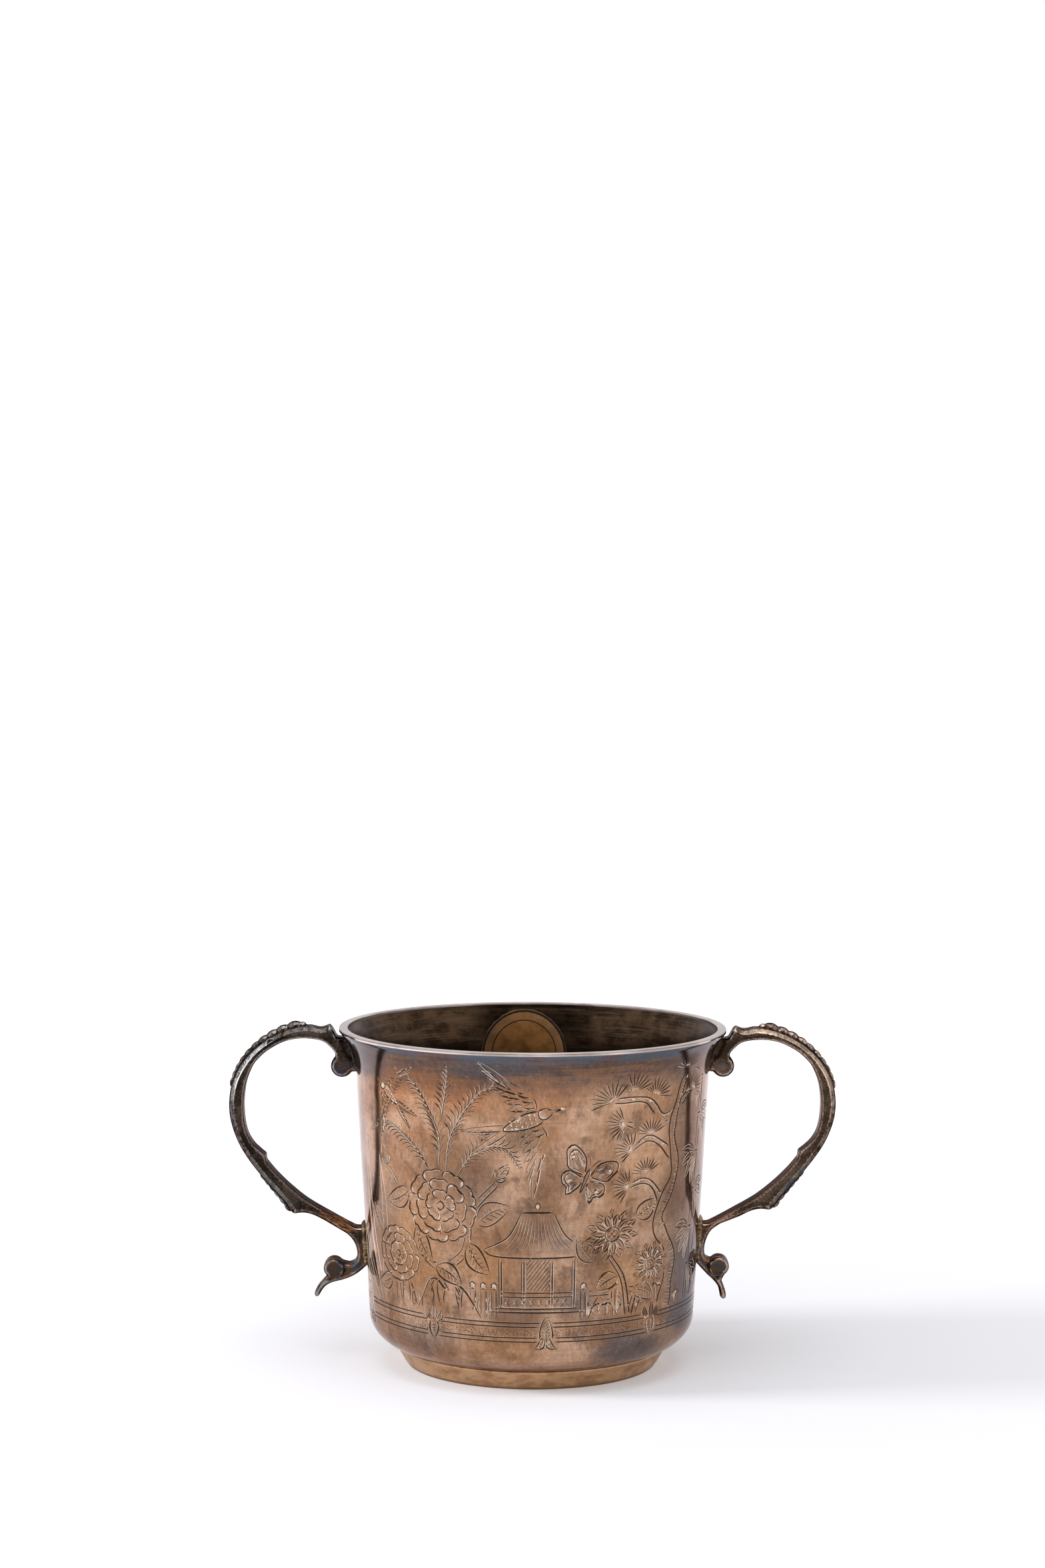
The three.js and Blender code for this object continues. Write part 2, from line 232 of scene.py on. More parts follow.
# %% Sizes of the raised body
body_low, body_high = (np.array(corner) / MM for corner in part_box("cup_body"))
LIP_RADIUS, CUP_HEIGHT, FLOOR_HEIGHT = body_high[0], body_high[2], body_low[2]
FLARE_WIDTH, FLARE_HEIGHT, FLARE_POWER = 4.6, 14.0, 2.5
LIP_WIDTH, LIP_EDGE, LIP_ROUNDING, INNER_FLARE_POWER = 2.4, 0.8, 0.28, 2.2
WALL_LEAN, WALL, FLOOR = 3.7, 0.9, 1.1
CORNER_WIDTH, CORNER_HEIGHT, CORNER_LENGTH = 12.2, 9.2, 17.0
SHOULDER_RADIUS = LIP_RADIUS - FLARE_WIDTH
BASE_RADIUS = SHOULDER_RADIUS - WALL_LEAN
CORNER_TOP = FLOOR_HEIGHT + CORNER_HEIGHT
FLARE_BOTTOM = CUP_HEIGHT - LIP_EDGE - FLARE_HEIGHT
DRAWING_RADIUS = 46.0
TURN_LENGTH = 2 * math.pi * DRAWING_RADIUS
SEAM = -TURN_LENGTH / 4
COLUMNS = 160
HAMMER_WAVES = ((3, 0.06, 0.0, 0.05), (7, -0.11, 1.0, 0.035), (13, 0.23, 2.0, 0.02))
HAMMER_DROP, TRUE_LIP, TRUE_FOOT, FADE_UP, FADE_DOWN = 0.1, 3, 3, 12, 16

def wall_line(height):
    """Radius of the leaning wall without its flare: straight from the corner's top to the shoulder."""
    return BASE_RADIUS + WALL_LEAN * np.clip((height - CORNER_TOP) / (FLARE_BOTTOM - CORNER_TOP), 0, 1)

def flare(height, power):
    """The flare's share of its full width: a power of the way up from its foot to the lip."""
    return np.clip((height - FLARE_BOTTOM) / FLARE_HEIGHT, 0, 1) ** power

def outer_radius(height):
    """Radius of the outside: the leaning wall and the flare."""
    return wall_line(height) + FLARE_WIDTH * flare(height, FLARE_POWER)

def inner_radius(height):
    """Radius of the inside: the wall's thickness in from the outside, growing to the lip's width."""
    opening = LIP_RADIUS - LIP_WIDTH - SHOULDER_RADIUS + WALL
    return wall_line(height) - WALL + opening * flare(height, INNER_FLARE_POWER)

def corner_arc(turn, width, height):
    """A quarter ellipse from the flat floor, at turn 0, up to the wall, at turn 1."""
    angle = turn * math.pi / 2
    radius = BASE_RADIUS - CORNER_WIDTH + width * np.sin(angle)
    return np.column_stack((radius, CORNER_TOP - height * np.cos(angle)))

def outside(drawn):
    """Radius and height of the outside at a drawing height: the wall, or the corner below its top."""
    wall = np.column_stack((outer_radius(drawn), drawn))
    turn = np.clip(1 - (CORNER_TOP - drawn) / CORNER_LENGTH, 0, 1)
    corner = corner_arc(turn, CORNER_WIDTH, CORNER_HEIGHT)
    return np.where(drawn[:, None] >= CORNER_TOP, wall, corner)

def waves(rows, angle, height=0.0):
    """A sum of sines; each row gives the waves round the cup, the climb, the start and the size."""
    return sum(size * np.sin(count * angle + climb * height + start) for count, climb, start, size in rows)

def hand_work(angle, height):
    """How far the hammered wall strays from a true round: a few slow waves, none at lip or foot."""
    below_lip = np.clip((CUP_HEIGHT - TRUE_LIP - height) / FADE_DOWN, 0, 1)
    above_floor = np.clip((height - FLOOR_HEIGHT - TRUE_FOOT) / FADE_UP, 0, 1)
    return below_lip * above_floor * (waves(HAMMER_WAVES, angle, height) - HAMMER_DROP)

def wall_point(x, drawn):
    """The unrolled wall's point (x, drawing height) on the real, hand-worked cup."""
    profile = outside(drawn)
    angle = x / DRAWING_RADIUS
    radius = profile[:, 0] + hand_work(angle, profile[:, 1])
    return np.column_stack((radius * np.sin(angle), -radius * np.cos(angle), profile[:, 1]))

def wall_normal(x, drawn):
    """The outward direction there, from the cross product of small steps along and up the wall."""
    step = 0.02
    along = wall_point(x + step, drawn) - wall_point(x - step, drawn)
    up = wall_point(x, drawn + step) - wall_point(x, drawn - step)
    return unit(np.cross(along, up))

print("wall from radius", round(BASE_RADIUS, 1), "to", round(SHOULDER_RADIUS, 1), "mm")

# %% [markdown]
# ## The engraver's strokes
# A graver ploughs a V-shaped groove that swells in the middle and runs out at both ends. So a stroke
# here is a curve with a half width at each point. The engraver works on unrolled paper, x along the
# wall from its front and y up it, both in millimetres. What is drawn first lies in front: its outline
# covers the paper, and later strokes stop at it, which is how overlapping leaves are drawn by hand.

# %% Collect strokes on the unrolled wall
STROKE_STEP = 0.9
CONTOUR, DETAIL, HAIRLINE = 0.52, 0.4, 0.28

def runs_of(kept):
    """Start and end of each unbroken run of kept points."""
    changes = np.flatnonzero(np.diff(np.concatenate(([False], kept, [False])).astype(int)))
    return zip(changes[0::2], changes[1::2])

def beside(curve, across, width):
    """The two lines that run a width to the left and to the right of a curve."""
    return curve + across * width, curve - across * width

class Engraver:
    """Holds the strokes cut so far and the outlines that later strokes must not cross."""

    def __init__(self):
        self.strokes = []
        self.covers = []

    def cut(self, curve, half_widths):
        """Adds the runs of a stroke that lie outside every cover."""
        free = np.ones(len(curve), bool)
        for outline in self.covers:
            near = np.all((curve >= outline.min(axis=0)) & (curve <= outline.max(axis=0)), axis=1) & free
            if near.any():
                free[near] = ~inside(curve[near], outline)
        for start, end in runs_of(free):
            if end - start > 2:
                self.strokes.append((curve[start:end], half_widths[start:end]))

    def line(self, points, width=CONTOUR, tips=0.0, step=STROKE_STEP):
        """A smooth stroke through the points, swelling from its tips to the full width."""
        points = np.asarray(points, float)
        curve = smooth_curve(points, step) if len(points) > 2 else even_steps(points, step)
        swell = np.sin(np.pi * np.linspace(0, 1, len(curve))) ** 0.6
        self.cut(curve, width / 2 * (tips + (1 - tips) * swell))

    def straight(self, points, width=CONTOUR):
        """A ruled line with corners at the points, one stroke for each side."""
        points = np.asarray(points, float)
        for start, end in zip(points[:-1], points[1:]):
            self.line((start, end), width, tips=0.5)

    def cover(self, outline):
        """Hides what is drawn later inside this outline."""
        self.covers.append(np.asarray(outline, float))

    def cover_between(self, left, right):
        """Hides what is drawn later between two lines that run the same way."""
        self.cover(np.vstack((left, right[::-1])))

    def shape(self, points, width=CONTOUR):
        """A closed smooth contour that covers what lies behind it."""
        points = np.asarray(points, float)
        loop = smooth_curve(np.vstack((points, points[:1])), STROKE_STEP)
        self.edge(loop, width)
        self.cover(loop)

    def hatch(self, outline, angle, spacing, width=HAIRLINE, reach=1.0):
        """Parallel hairlines within an outline; reach is the share of each line that is cut."""
        outline = np.asarray(outline, float)
        along = heading(angle)
        across = left_of(along)
        centre, size = outline.mean(axis=0), np.ptp(outline, axis=0).sum()
        for offset in np.arange(-size / 2, size / 2, spacing):
            steps = np.arange(-size / 2, size / 2, STROKE_STEP / 2)[:, None]
            curve = centre + across * offset + along * steps
            for start, end in runs_of(inside(curve, outline)):
                end = start + int((end - start) * reach)
                if end - start > 2:
                    self.edge(even_steps(curve[start:end], STROKE_STEP), width)

    def edge(self, curve, width):
        """A stroke of one width with pointed ends, over a curve's own points."""
        self.cut(curve, np.full(len(curve), width / 2))

# %% [markdown]
# ## Motifs of the garden
# The wall carries a made-up garden in the manner of old export wares: peonies, asters, bamboo, iris
# blades, rocks, butterflies and a little summer house. Each motif is a small function of its place
# and size, so that one can be repeated at another scale. Petals and leaves are bowed outlines about
# an axis, and short hairlines at their roots give them shade.

# %% Leaves and blades
def bent_axis(root, tip, bend, count=7):
    """Points from root to tip, pushed sideways by a half sine, with the unit directions along and across."""
    root, tip = np.array(root, float), np.array(tip, float)
    along = (tip - root) / np.linalg.norm(tip - root)
    across = left_of(along)
    share = np.linspace(0, 1, count)[:, None]
    return root + (tip - root) * share + across * bend * np.sin(np.pi * share), along, across

def leaf(pen, root, tip, belly, bend=0.0, veins=3):
    """Two edges swell by a skewed sine about the midrib, and slanting veins run out from it."""
    rib, along, across = bent_axis(root, tip, bend)
    share = np.linspace(0, 1, len(rib))
    swell = (belly * np.sin(np.pi * share ** 0.8) ** 0.9)[:, None]
    left, right = beside(rib, across, swell)
    pen.line(left, CONTOUR)
    pen.line(right, CONTOUR)
    pen.line(rib[:-1], DETAIL)
    for vein in np.linspace(0.14, 0.8, veins * 2):
        start = at(vein, share, rib)
        reach = 0.85 * np.interp(vein, share, swell[:, 0])
        for side, length in ((-1, reach), (1, reach * 0.7)):
            pen.line((start, start + length * (along * 0.9 + across * side)), HAIRLINE)
    pen.cover_between(left, right)

def blade(pen, root, tip, belly, bend=0.0):
    """A long grass or iris blade: two edges that meet at the tip and a hairline along the middle."""
    rib, along, across = bent_axis(root, tip, bend, 9)
    share = np.linspace(0, 1, len(rib))
    swell = (belly * (1 - share ** 2.2) * (0.45 + 0.55 * share) * 1.4)[:, None]
    left, right = beside(rib, across, swell)
    left[-1] = right[-1] = rib[-1]
    pen.line(left, CONTOUR, tips=0.25)
    pen.line(right, DETAIL, tips=0.25)
    pen.line(rib[1:6] + across * swell[1:6] * 0.3, HAIRLINE)
    pen.cover_between(left, right)

def plume(pen, points, reach, count):
    """A feathery leaf: a bowed rib with close curved strokes on both sides, longer on one."""
    rib = smooth_curve(points, STROKE_STEP)
    share = np.linspace(0, 1, len(rib))
    slope, across = directions(rib)
    along = unit(slope)
    edges = []
    pen.line(rib, CONTOUR, tips=0.4)
    for side, portion in ((1, 1.0), (-1, 0.6)):
        edge = []
        for place in np.linspace(0.12, 0.97, count):
            start, forward, outward = (at(place, share, rows) for rows in (rib, along, across))
            length = portion * reach * math.sin(math.pi * place ** 0.7) ** 0.8 + 0.5
            bow = start + length * (forward * 0.8 + outward * side * 0.35)
            edge.append(start + length * (forward * 1.1 + outward * side * 0.95))
            pen.line((start, bow, edge[-1]), DETAIL if side > 0 else HAIRLINE)
        edges.append(edge)
    pen.cover(np.vstack((rib[:1], edges[0], rib[-1:], edges[1][::-1])))

def pine_fan(pen, centre, radius, angle, spread=2.6, needles=11):
    """A half round tuft of pine needles seen from the side, with a small scalloped bud at its root."""
    centre = np.array(centre, float)
    turns = angle + np.linspace(-spread / 2, spread / 2, needles)
    rays = np.column_stack((np.cos(turns), np.sin(turns) * 0.85))
    for number, ray in enumerate(rays):
        pen.line((centre + ray * radius * 0.18, centre + ray * radius * (1.0 - 0.08 * (number % 2))), DETAIL)
    pen.line(centre + rays * radius * 0.2, DETAIL, tips=0.5)
    pen.cover(np.vstack((centre[None], centre + rays * radius)))

def trunk(pen, points, foot_width, top_width):
    """A gnarled trunk: two wavy sides and rows of short curved bark strokes across the shaded half."""
    curve = smooth_curve(points, STROKE_STEP)
    slope, across = directions(curve)
    share = np.linspace(0, 1, len(curve))[:, None]
    wave = 1 + 0.16 * np.sin(share * len(curve) * 0.55)
    width = (foot_width * (1 - share) + top_width * share) / 2 * wave
    left, right = beside(curve, across, width)
    pen.edge(left, CONTOUR)
    pen.edge(right, CONTOUR)
    for number in range(1, len(curve) - 2):
        reach = (0.35, 0.7, 0.5)[number % 3]
        end = right[number] * (1 - reach) + left[number] * reach
        middle = (right[number] + end) / 2 + slope[number] * 0.5
        pen.line((right[number], middle, end), HAIRLINE if number % 2 else DETAIL)
    pen.cover_between(left, right)

def tuft(pen, foot, height, count, spread):
    """A fan of single strokes that lean out from one foot, taller in the middle."""
    for share in np.linspace(-1, 1, count):
        tip = (foot[0] + spread * share, foot[1] + height * (1 - 0.45 * abs(share)))
        middle = (foot[0] + spread * share * 0.25, foot[1] + height * 0.5)
        pen.line((foot, middle, tip), DETAIL)

# %% Flowers
def petal(pen, centre, inner, outer, angle, spread, squash):
    """A notched petal in polar form: its sides open out from the inner radius and its tip dips."""
    turns = np.array((-0.5, -0.95, -0.8, -0.35, 0.0, 0.35, 0.8, 0.95, 0.5)) * spread + angle
    reach = np.array((0.0, 0.55, 0.9, 1.0, 0.9, 1.0, 0.9, 0.55, 0.0))
    radius = inner + (outer - inner) * reach
    outline = np.column_stack((np.cos(turns), np.sin(turns) * squash)) * radius[:, None] + centre
    pen.line(outline, CONTOUR, tips=0.3)
    rooted = (inner * 1.1, inner + (outer - inner) * 0.62)
    tipped = (inner + (outer - inner) * 0.78, outer * 0.96)
    for sides, ends in (((-0.6, -0.3, 0.0, 0.3, 0.6), rooted), ((-0.45, 0.45), tipped)):
        for turn in angle + np.array(sides) * spread:
            ray = heading(turn, squash)
            pen.line((centre + ray * ends[0], centre + ray * ends[1]), HAIRLINE)
    pen.cover(outline)

def peony(pen, centre, radius, turn=0.0, squash=0.9):
    """Three rings of petals round a dotted heart, each ring behind the one inside it."""
    centre = np.array(centre, float)
    rings = ((0.16, 0.44, 5), (0.36, 0.74, 7), (0.6, 1.0, 9))
    for number, (inner, outer, count) in enumerate(rings):
        for angle in turn + 0.4 * number + 2 * math.pi * np.arange(count) / count:
            petal(pen, centre, inner * radius, outer * radius, angle, 1.1 * math.pi / count, squash)
    pen.line(centre + radius * 0.12 * np.array(((-1, 0), (0, 1), (1, 0), (0, -1), (-1, 0))), DETAIL, tips=1.0)

def aster(pen, centre, radius, turn=0.0, squash=0.85):
    """Two rings of narrow pointed rays round a crosshatched disc."""
    centre = np.array(centre, float)
    around = np.linspace(0, 2 * math.pi, 9)[:-1]
    disc = centre + 0.26 * radius * np.column_stack((np.cos(around), squash * np.sin(around)))
    pen.hatch(disc, 0.7, radius * 0.13)
    pen.hatch(disc, -0.7, radius * 0.13)
    pen.shape(disc, DETAIL)
    for ring, (reach, count) in enumerate(((0.78, 11), (1.0, 11))):
        for angle in turn + (ring / 2 + np.arange(count)) * 2 * math.pi / count:
            ray = heading(angle, squash)
            leaf(pen, centre + ray * radius * 0.27, centre + ray * radius * reach, radius * 0.11, 0, 0)

def bud(pen, centre, size, angle):
    """A closed bud: a pointed oval with two scales at its foot."""
    ray = heading(angle)
    across = left_of(ray)
    centre = np.array(centre, float)
    for side in (-1, 1):
        leaf(pen, centre - ray * size * 0.2, centre + ray * size * 0.7 + across * side * size * 0.55,
             size * 0.16, side * size * 0.12, 0)
    leaf(pen, centre, centre + ray * size * 1.7, size * 0.42, 0, 2)

def stem(pen, points, thickness):
    """Two edges half a thickness either side of a curve, and small slanting strokes on the shaded side."""
    curve = smooth_curve(points, STROKE_STEP)
    across = directions(curve)[1]
    width = (thickness / 2 * np.linspace(1.0, 0.55, len(curve)))[:, None]
    left, right = beside(curve, across, width)
    pen.edge(left, DETAIL)
    pen.edge(right, CONTOUR)
    for number in range(2, len(curve) - 1, 2):
        pen.line((right[number], right[number] * 0.45 + left[number - 1] * 0.55), HAIRLINE)
    pen.cover_between(left, right)

# %% Bamboo, rocks and butterflies
def bamboo(pen, foot, top, thickness, leafy):
    """A cane of straight joints with a ring at each node; sprays of leaves hang from the listed nodes."""
    foot, top = np.array(foot, float), np.array(top, float)
    count = max(3, int(np.linalg.norm(top - foot) / 9))
    nodes = foot + (top - foot) * np.linspace(0, 1, count + 1)[:, None]
    for node, side in leafy:
        place = nodes[node]
        for fan in (-1.25, -0.8, -0.35, 0.1):
            ray = heading(fan) * (side, 1)
            leaf(pen, place + ray * 1.5, place + ray * 9.5, 1.05, side * 0.6, 0)
    for low, high in zip(nodes[:-1], nodes[1:]):
        along = (high - low) / np.linalg.norm(high - low)
        across = left_of(along) * thickness / 2
        for side, width in ((1, DETAIL), (-1, CONTOUR)):
            bow = low * 0.5 + high * 0.5 + across * side * 0.8
            pen.line((low + across * side + along * 0.3, bow, high + across * side - along * 0.3), width, 0.5)
        pen.line((high + across * 1.4, high - along * 0.35, high - across * 1.4), CONTOUR)
        shade = np.vstack((low - across * 0.9, high - across * 0.9, high - across * 0.1, low - across * 0.1))
        pen.hatch(shade, math.atan2(along[1], along[0]) + 0.5, 1.3)

def rock(pen, x, base, width, height, seed):
    """A garden rock: a jagged outline, ridges that run down from its peaks and hatching on one side."""
    rng = np.random.default_rng(seed)
    share = np.linspace(0, 1, 9)
    rise = np.sin(np.pi * share) ** 0.6 * rng.uniform(0.55, 1.0, 9)
    outline = np.column_stack((x + width * (share - 0.5), base + height * rise))
    pen.line(outline, CONTOUR * 1.1, tips=0.3)
    for peak in range(1, 8):
        crest, next_crest = outline[peak], outline[peak + 1]
        foot = np.array((crest[0] + rng.uniform(-0.03, 0.08) * width, base + height * rng.uniform(0.0, 0.25)))
        pen.line((crest, (crest + foot) / 2 + (rng.uniform(-1, 1), 0), foot), DETAIL)
        face = np.vstack((crest, next_crest, (next_crest + foot) / 2, foot))
        if peak % 3:
            pen.hatch(face, -1.05, 0.6, DETAIL, reach=rng.uniform(0.6, 1.0))
    pen.cover(np.vstack((outline, (x + width / 2, base - 1), (x - width / 2, base - 1))))

def butterfly(pen, centre, size, angle):
    """A body with two pairs of scalloped wings, veined from their roots, and two feelers."""
    centre = np.array(centre, float)
    turn = turning(angle)
    upper = ((0.1, 0.1), (0.35, 0.75), (0.95, 1.05), (1.15, 0.8), (1.0, 0.45), (0.8, 0.15))
    lower = ((0.1, -0.05), (0.75, 0.05), (0.95, -0.2), (0.8, -0.5), (0.6, -0.55), (0.5, -0.85), (0.2, -0.45))
    pen.shape(centre + size * np.array(((0, 0.45), (0.08, 0.1), (0, -0.6), (-0.08, 0.1))) @ turn, DETAIL)
    for side in (-1, 1):
        mirror = np.array((side, 1.0))
        pen.line(centre + size * mirror * np.array(((0.02, 0.45), (0.2, 0.8), (0.45, 0.9))) @ turn, HAIRLINE)
        for wing, root in ((upper, (0.1, 0.1)), (lower, (0.1, -0.1))):
            outline = np.array(wing) * mirror
            spot = outline[2:5].mean(axis=0) * 0.8 + 0.1 * np.array(((1, 0), (0, 1), (-1, 0), (0, -1)))
            pen.shape(centre + size * spot @ turn, DETAIL)
            edge = smooth_curve(outline[1:], 0.11)
            for target in edge:
                ends = np.vstack((np.array(root) * mirror * 1.2 + target * 0.25, target * 0.84))
                pen.line(centre + size * ends @ turn, HAIRLINE)
            pen.line(centre + size * outline[1:] * 0.86 @ turn, DETAIL)
            pen.shape(centre + size * outline @ turn, CONTOUR)

# %% Summer house, fence and swallows
def summer_house(pen, x, base, width, height):
    """An open pavilion: a tiled roof with upturned eaves on four posts, a rail and two steps."""
    eaves, ridge = base + height * 0.55, base + height
    half = width / 2
    roof_shares = np.array((
        (-1.15, 0.12), (-0.8, 0.0), (0.8, 0.0), (1.15, 0.12),
        (0.62, 0.4), (0.32, 0.92), (-0.32, 0.92), (-0.62, 0.4),
    ))
    roof = (x, eaves) + roof_shares * (half, ridge - eaves)
    pen.shape(np.array(((0, 0), (0.6, 0.8), (0, 1.9), (-0.6, 0.8))) + (x, ridge - 0.3), DETAIL)
    for corners, weight in (([0, 1, 2, 3], 1.1), ([3, 4, 5], 1.0), ([5, 6], 1.1), ([6, 7, 0], 1.0)):
        pen.line(roof[corners], CONTOUR * weight, tips=0.5)
    for share in np.linspace(-0.85, 0.85, 13):
        top = (x + half * share * 0.36, eaves + (ridge - eaves) * 0.88)
        low = (x + half * share * 0.95, eaves + (ridge - eaves) * 0.06)
        pen.line((top, (x + half * share * 0.56, eaves + (ridge - eaves) * 0.42), low), HAIRLINE)
    pen.cover(roof)
    for share in (-0.78, -0.3, 0.3, 0.78):
        for edge, weight in ((-0.35, DETAIL), (0.35, CONTOUR)):
            pen.line(((x + half * share + edge, eaves), (x + half * share + edge, base + 2)), weight, 0.6)
    rail = base + height * 0.22
    for level in (rail, rail - 1.1, base + 2.2):
        pen.line(((x - half * 0.78, level), (x + half * 0.78, level)), DETAIL, 0.6)
    fretwork(pen, x - half * 0.74, x + half * 0.74, base + 2.2, rail - 1.1, 2.2)
    for step, reach in enumerate((0.92, 1.05)):
        level = base + 2 - step
        pen.straight(((x - half * reach, level), (x + half * reach, level)), CONTOUR)
    left, right = x - half * 0.28, x + half * 0.28
    pen.hatch(((left, rail), (right, rail), (right, eaves), (left, eaves)), 0.9, 0.8)

def fretwork(pen, left, right, low, high, pitch):
    """Crossed slanting bars between two rails."""
    for start in np.arange(left, right - pitch / 2, pitch):
        pen.line(((start, low), (start + pitch, high)), HAIRLINE, 0.6)
        pen.line(((start + pitch, low), (start, high)), HAIRLINE, 0.6)

def fence(pen, left, right, base, height):
    """A garden fence: posts with round caps, a double rail and fretwork panels between them."""
    posts = np.linspace(left, right, max(2, int((right - left) / 9)) + 1)
    for post in posts:
        box = np.array(((-0.8, 0), (0.8, 0), (0.8, height), (-0.8, height))) + (post, base)
        pen.shape(np.array(((0, 0), (0.9, 0.7), (0, 1.7), (-0.9, 0.7))) + (post, base + height), DETAIL)
        pen.straight(box[[0, 3, 2, 1]], DETAIL)
        pen.hatch(box * (0.5, 1) + (post / 2 + 0.4, 0), math.pi / 2, 0.5)
        pen.cover(box)
    for level in (height * 0.92, height * 0.76, height * 0.12):
        pen.line(((left, base + level), (right, base + level)), DETAIL, 0.7)
    low, high = base + height * 0.12, base + height * 0.76
    for start, end in zip(posts[:-1], posts[1:]):
        fretwork(pen, start + 0.8, end - 0.8, low, high, (end - start - 1.6) / 2)

def feather(pen, root, tip, belly, barbs):
    """A round-ended feather: one firm edge, one light edge and a few slanting hairlines."""
    rib, along, across = bent_axis(root, tip, 0.0)
    swell = (belly * np.sin(np.pi * np.linspace(0.08, 1, len(rib)) ** 0.7) ** 0.6)[:, None]
    left, right = beside(rib, across, swell)
    pen.line(np.vstack((left, rib[-1:])), CONTOUR)
    pen.line(np.vstack((right, rib[-1:])), HAIRLINE, tips=0.4)
    for place in np.linspace(0.3, 0.85, barbs):
        start = rib[0] + (rib[-1] - rib[0]) * place
        pen.line((start, start + belly * (along * 1.6 + across * 0.8)), HAIRLINE)
    pen.cover(np.vstack((left, rib[-1:], right[::-1])))

def swallow(pen, centre, size, angle):
    """A bird in flight: two wings of overlapping feathers, a short scaled body and a forked tail."""
    centre = np.array(centre, float)
    turn = size * turning(angle)

    def placed_at(rows):
        """Rows in bird lengths, turned and moved to the bird's place."""
        return centre + np.array(rows, float) @ turn

    head = ((0.66, 0.05), (0.56, 0.13), (0.42, 0.15), (0.36, 0.03), (0.44, -0.06), (0.58, -0.02))
    pen.shape(placed_at(head), DETAIL)
    pen.line(placed_at(((0.66, 0.06), (0.84, 0.03), (0.66, 0.01))), DETAIL, tips=0.6)
    pen.shape(placed_at(((0.52, 0.08), (0.55, 0.1), (0.52, 0.12), (0.49, 0.1))), HAIRLINE)
    for row in range(6):
        for column in (-1, 0, 1):
            x, y = 0.28 - row * 0.1, column * 0.09 + 0.045 * (row % 2)
            pen.line(placed_at(((x + 0.03, y + 0.05), (x - 0.03, y), (x + 0.03, y - 0.05))), HAIRLINE)
    trunk_line = ((0.45, 0.13), (0.1, 0.17), (-0.35, 0.05), (-0.35, -0.03), (0.1, -0.12), (0.42, -0.07))
    pen.shape(placed_at(trunk_line), CONTOUR)
    wing_bone = np.array(((0.3, 0.1), (0.37, 0.34), (0.28, 0.58), (0.08, 0.72)))
    for side in (-1, 1):
        bone = smooth_curve(wing_bone * (1, side), 0.03)
        shares = np.linspace(0, 1, len(bone))
        for count, length, growth, belly, barbs in ((7, 0.2, 0.12, 0.055, 0), (8, 0.46, 0.42, 0.065, 3)):
            for share in np.linspace(1.0, 0.08, count):
                root = at(share, shares, bone)
                lean = 0.08 + share ** 1.3
                reach = length + growth * share
                tip = root + reach * heading(lean) * (-1, side)
                feather(pen, *placed_at((root, tip)), belly * size, barbs)
        pen.line(placed_at(bone + (0.02, 0)), CONTOUR)
    for side, reach in ((-1, 1.25), (1, 1.25), (-0.4, 0.95), (0.4, 0.95)):
        feather(pen, *placed_at(((-0.28, 0.02 * side), (-reach, 0.26 * side))), 0.06 * size, 5)

# %% [markdown]
# ## The band and the garden
# A stippled band between double lines runs round the foot of the wall, with leaf clasps at even
# steps, as on much work of that age. Above it the garden grows in two halves, one for each side of
# the handles. Things in front are drawn first.

# %% The stippled band with its clasps
BAND_LINES = (19.8, 18.75, 15.9, 14.85)
CLASP_COUNT, FIRST_CLASP = 9, 3.9
STIPPLE_PITCH, STIPPLE_RADIUS = 0.95, 0.17
GROUND = BAND_LINES[0] + 0.5

def clasp(pen, x, flaming):
    """Either three flame leaves over one long point, or a leaf across the band with two curls below."""
    top, bottom = BAND_LINES[0], BAND_LINES[-1]
    if flaming:
        for lean, rise in ((-2.6, 2.3), (0.3, 3.2), (2.6, 1.9)):
            leaf(pen, (x + lean * 0.35, top - 1.2), (x + lean, top + rise), 0.62, -lean * 0.2, 0)
        leaf(pen, (x, top - 0.4), (x, bottom - 1.1), 1.5, 0, 3)
    else:
        for side in (-1, 1):
            leaf(pen, (x + side * 0.6, bottom + 1.2), (x + side * 3.2, bottom - 2.2), 0.85, -side * 0.9, 2)
        leaf(pen, (x, bottom - 1.9), (x, top + 1.9), 1.75, 0, 4)

def band(pen):
    """Clasps first, then the four lines round the wall, then rows of pits jittered within the band."""
    pitch = TURN_LENGTH / CLASP_COUNT
    places = SEAM + (FIRST_CLASP - SEAM) % pitch + pitch * np.arange(CLASP_COUNT)
    for number, x in enumerate(places):
        clasp(pen, x, number % 2 == 1)
    around = np.linspace(SEAM, SEAM + TURN_LENGTH, 2 * COLUMNS + 1)
    for level in BAND_LINES:
        pen.edge(np.column_stack((around, np.full(len(around), level))), DETAIL)
    rng = np.random.default_rng(5)
    columns = np.arange(SEAM + 1, SEAM + TURN_LENGTH - 1, STIPPLE_PITCH)
    levels = np.arange(BAND_LINES[2] + 0.5, BAND_LINES[1] - 0.3, STIPPLE_PITCH * 0.75)
    pits = np.stack(np.meshgrid(columns, levels), axis=-1).reshape(-1, 2)
    return pits + rng.uniform(-0.36, 0.36, pits.shape) * STIPPLE_PITCH

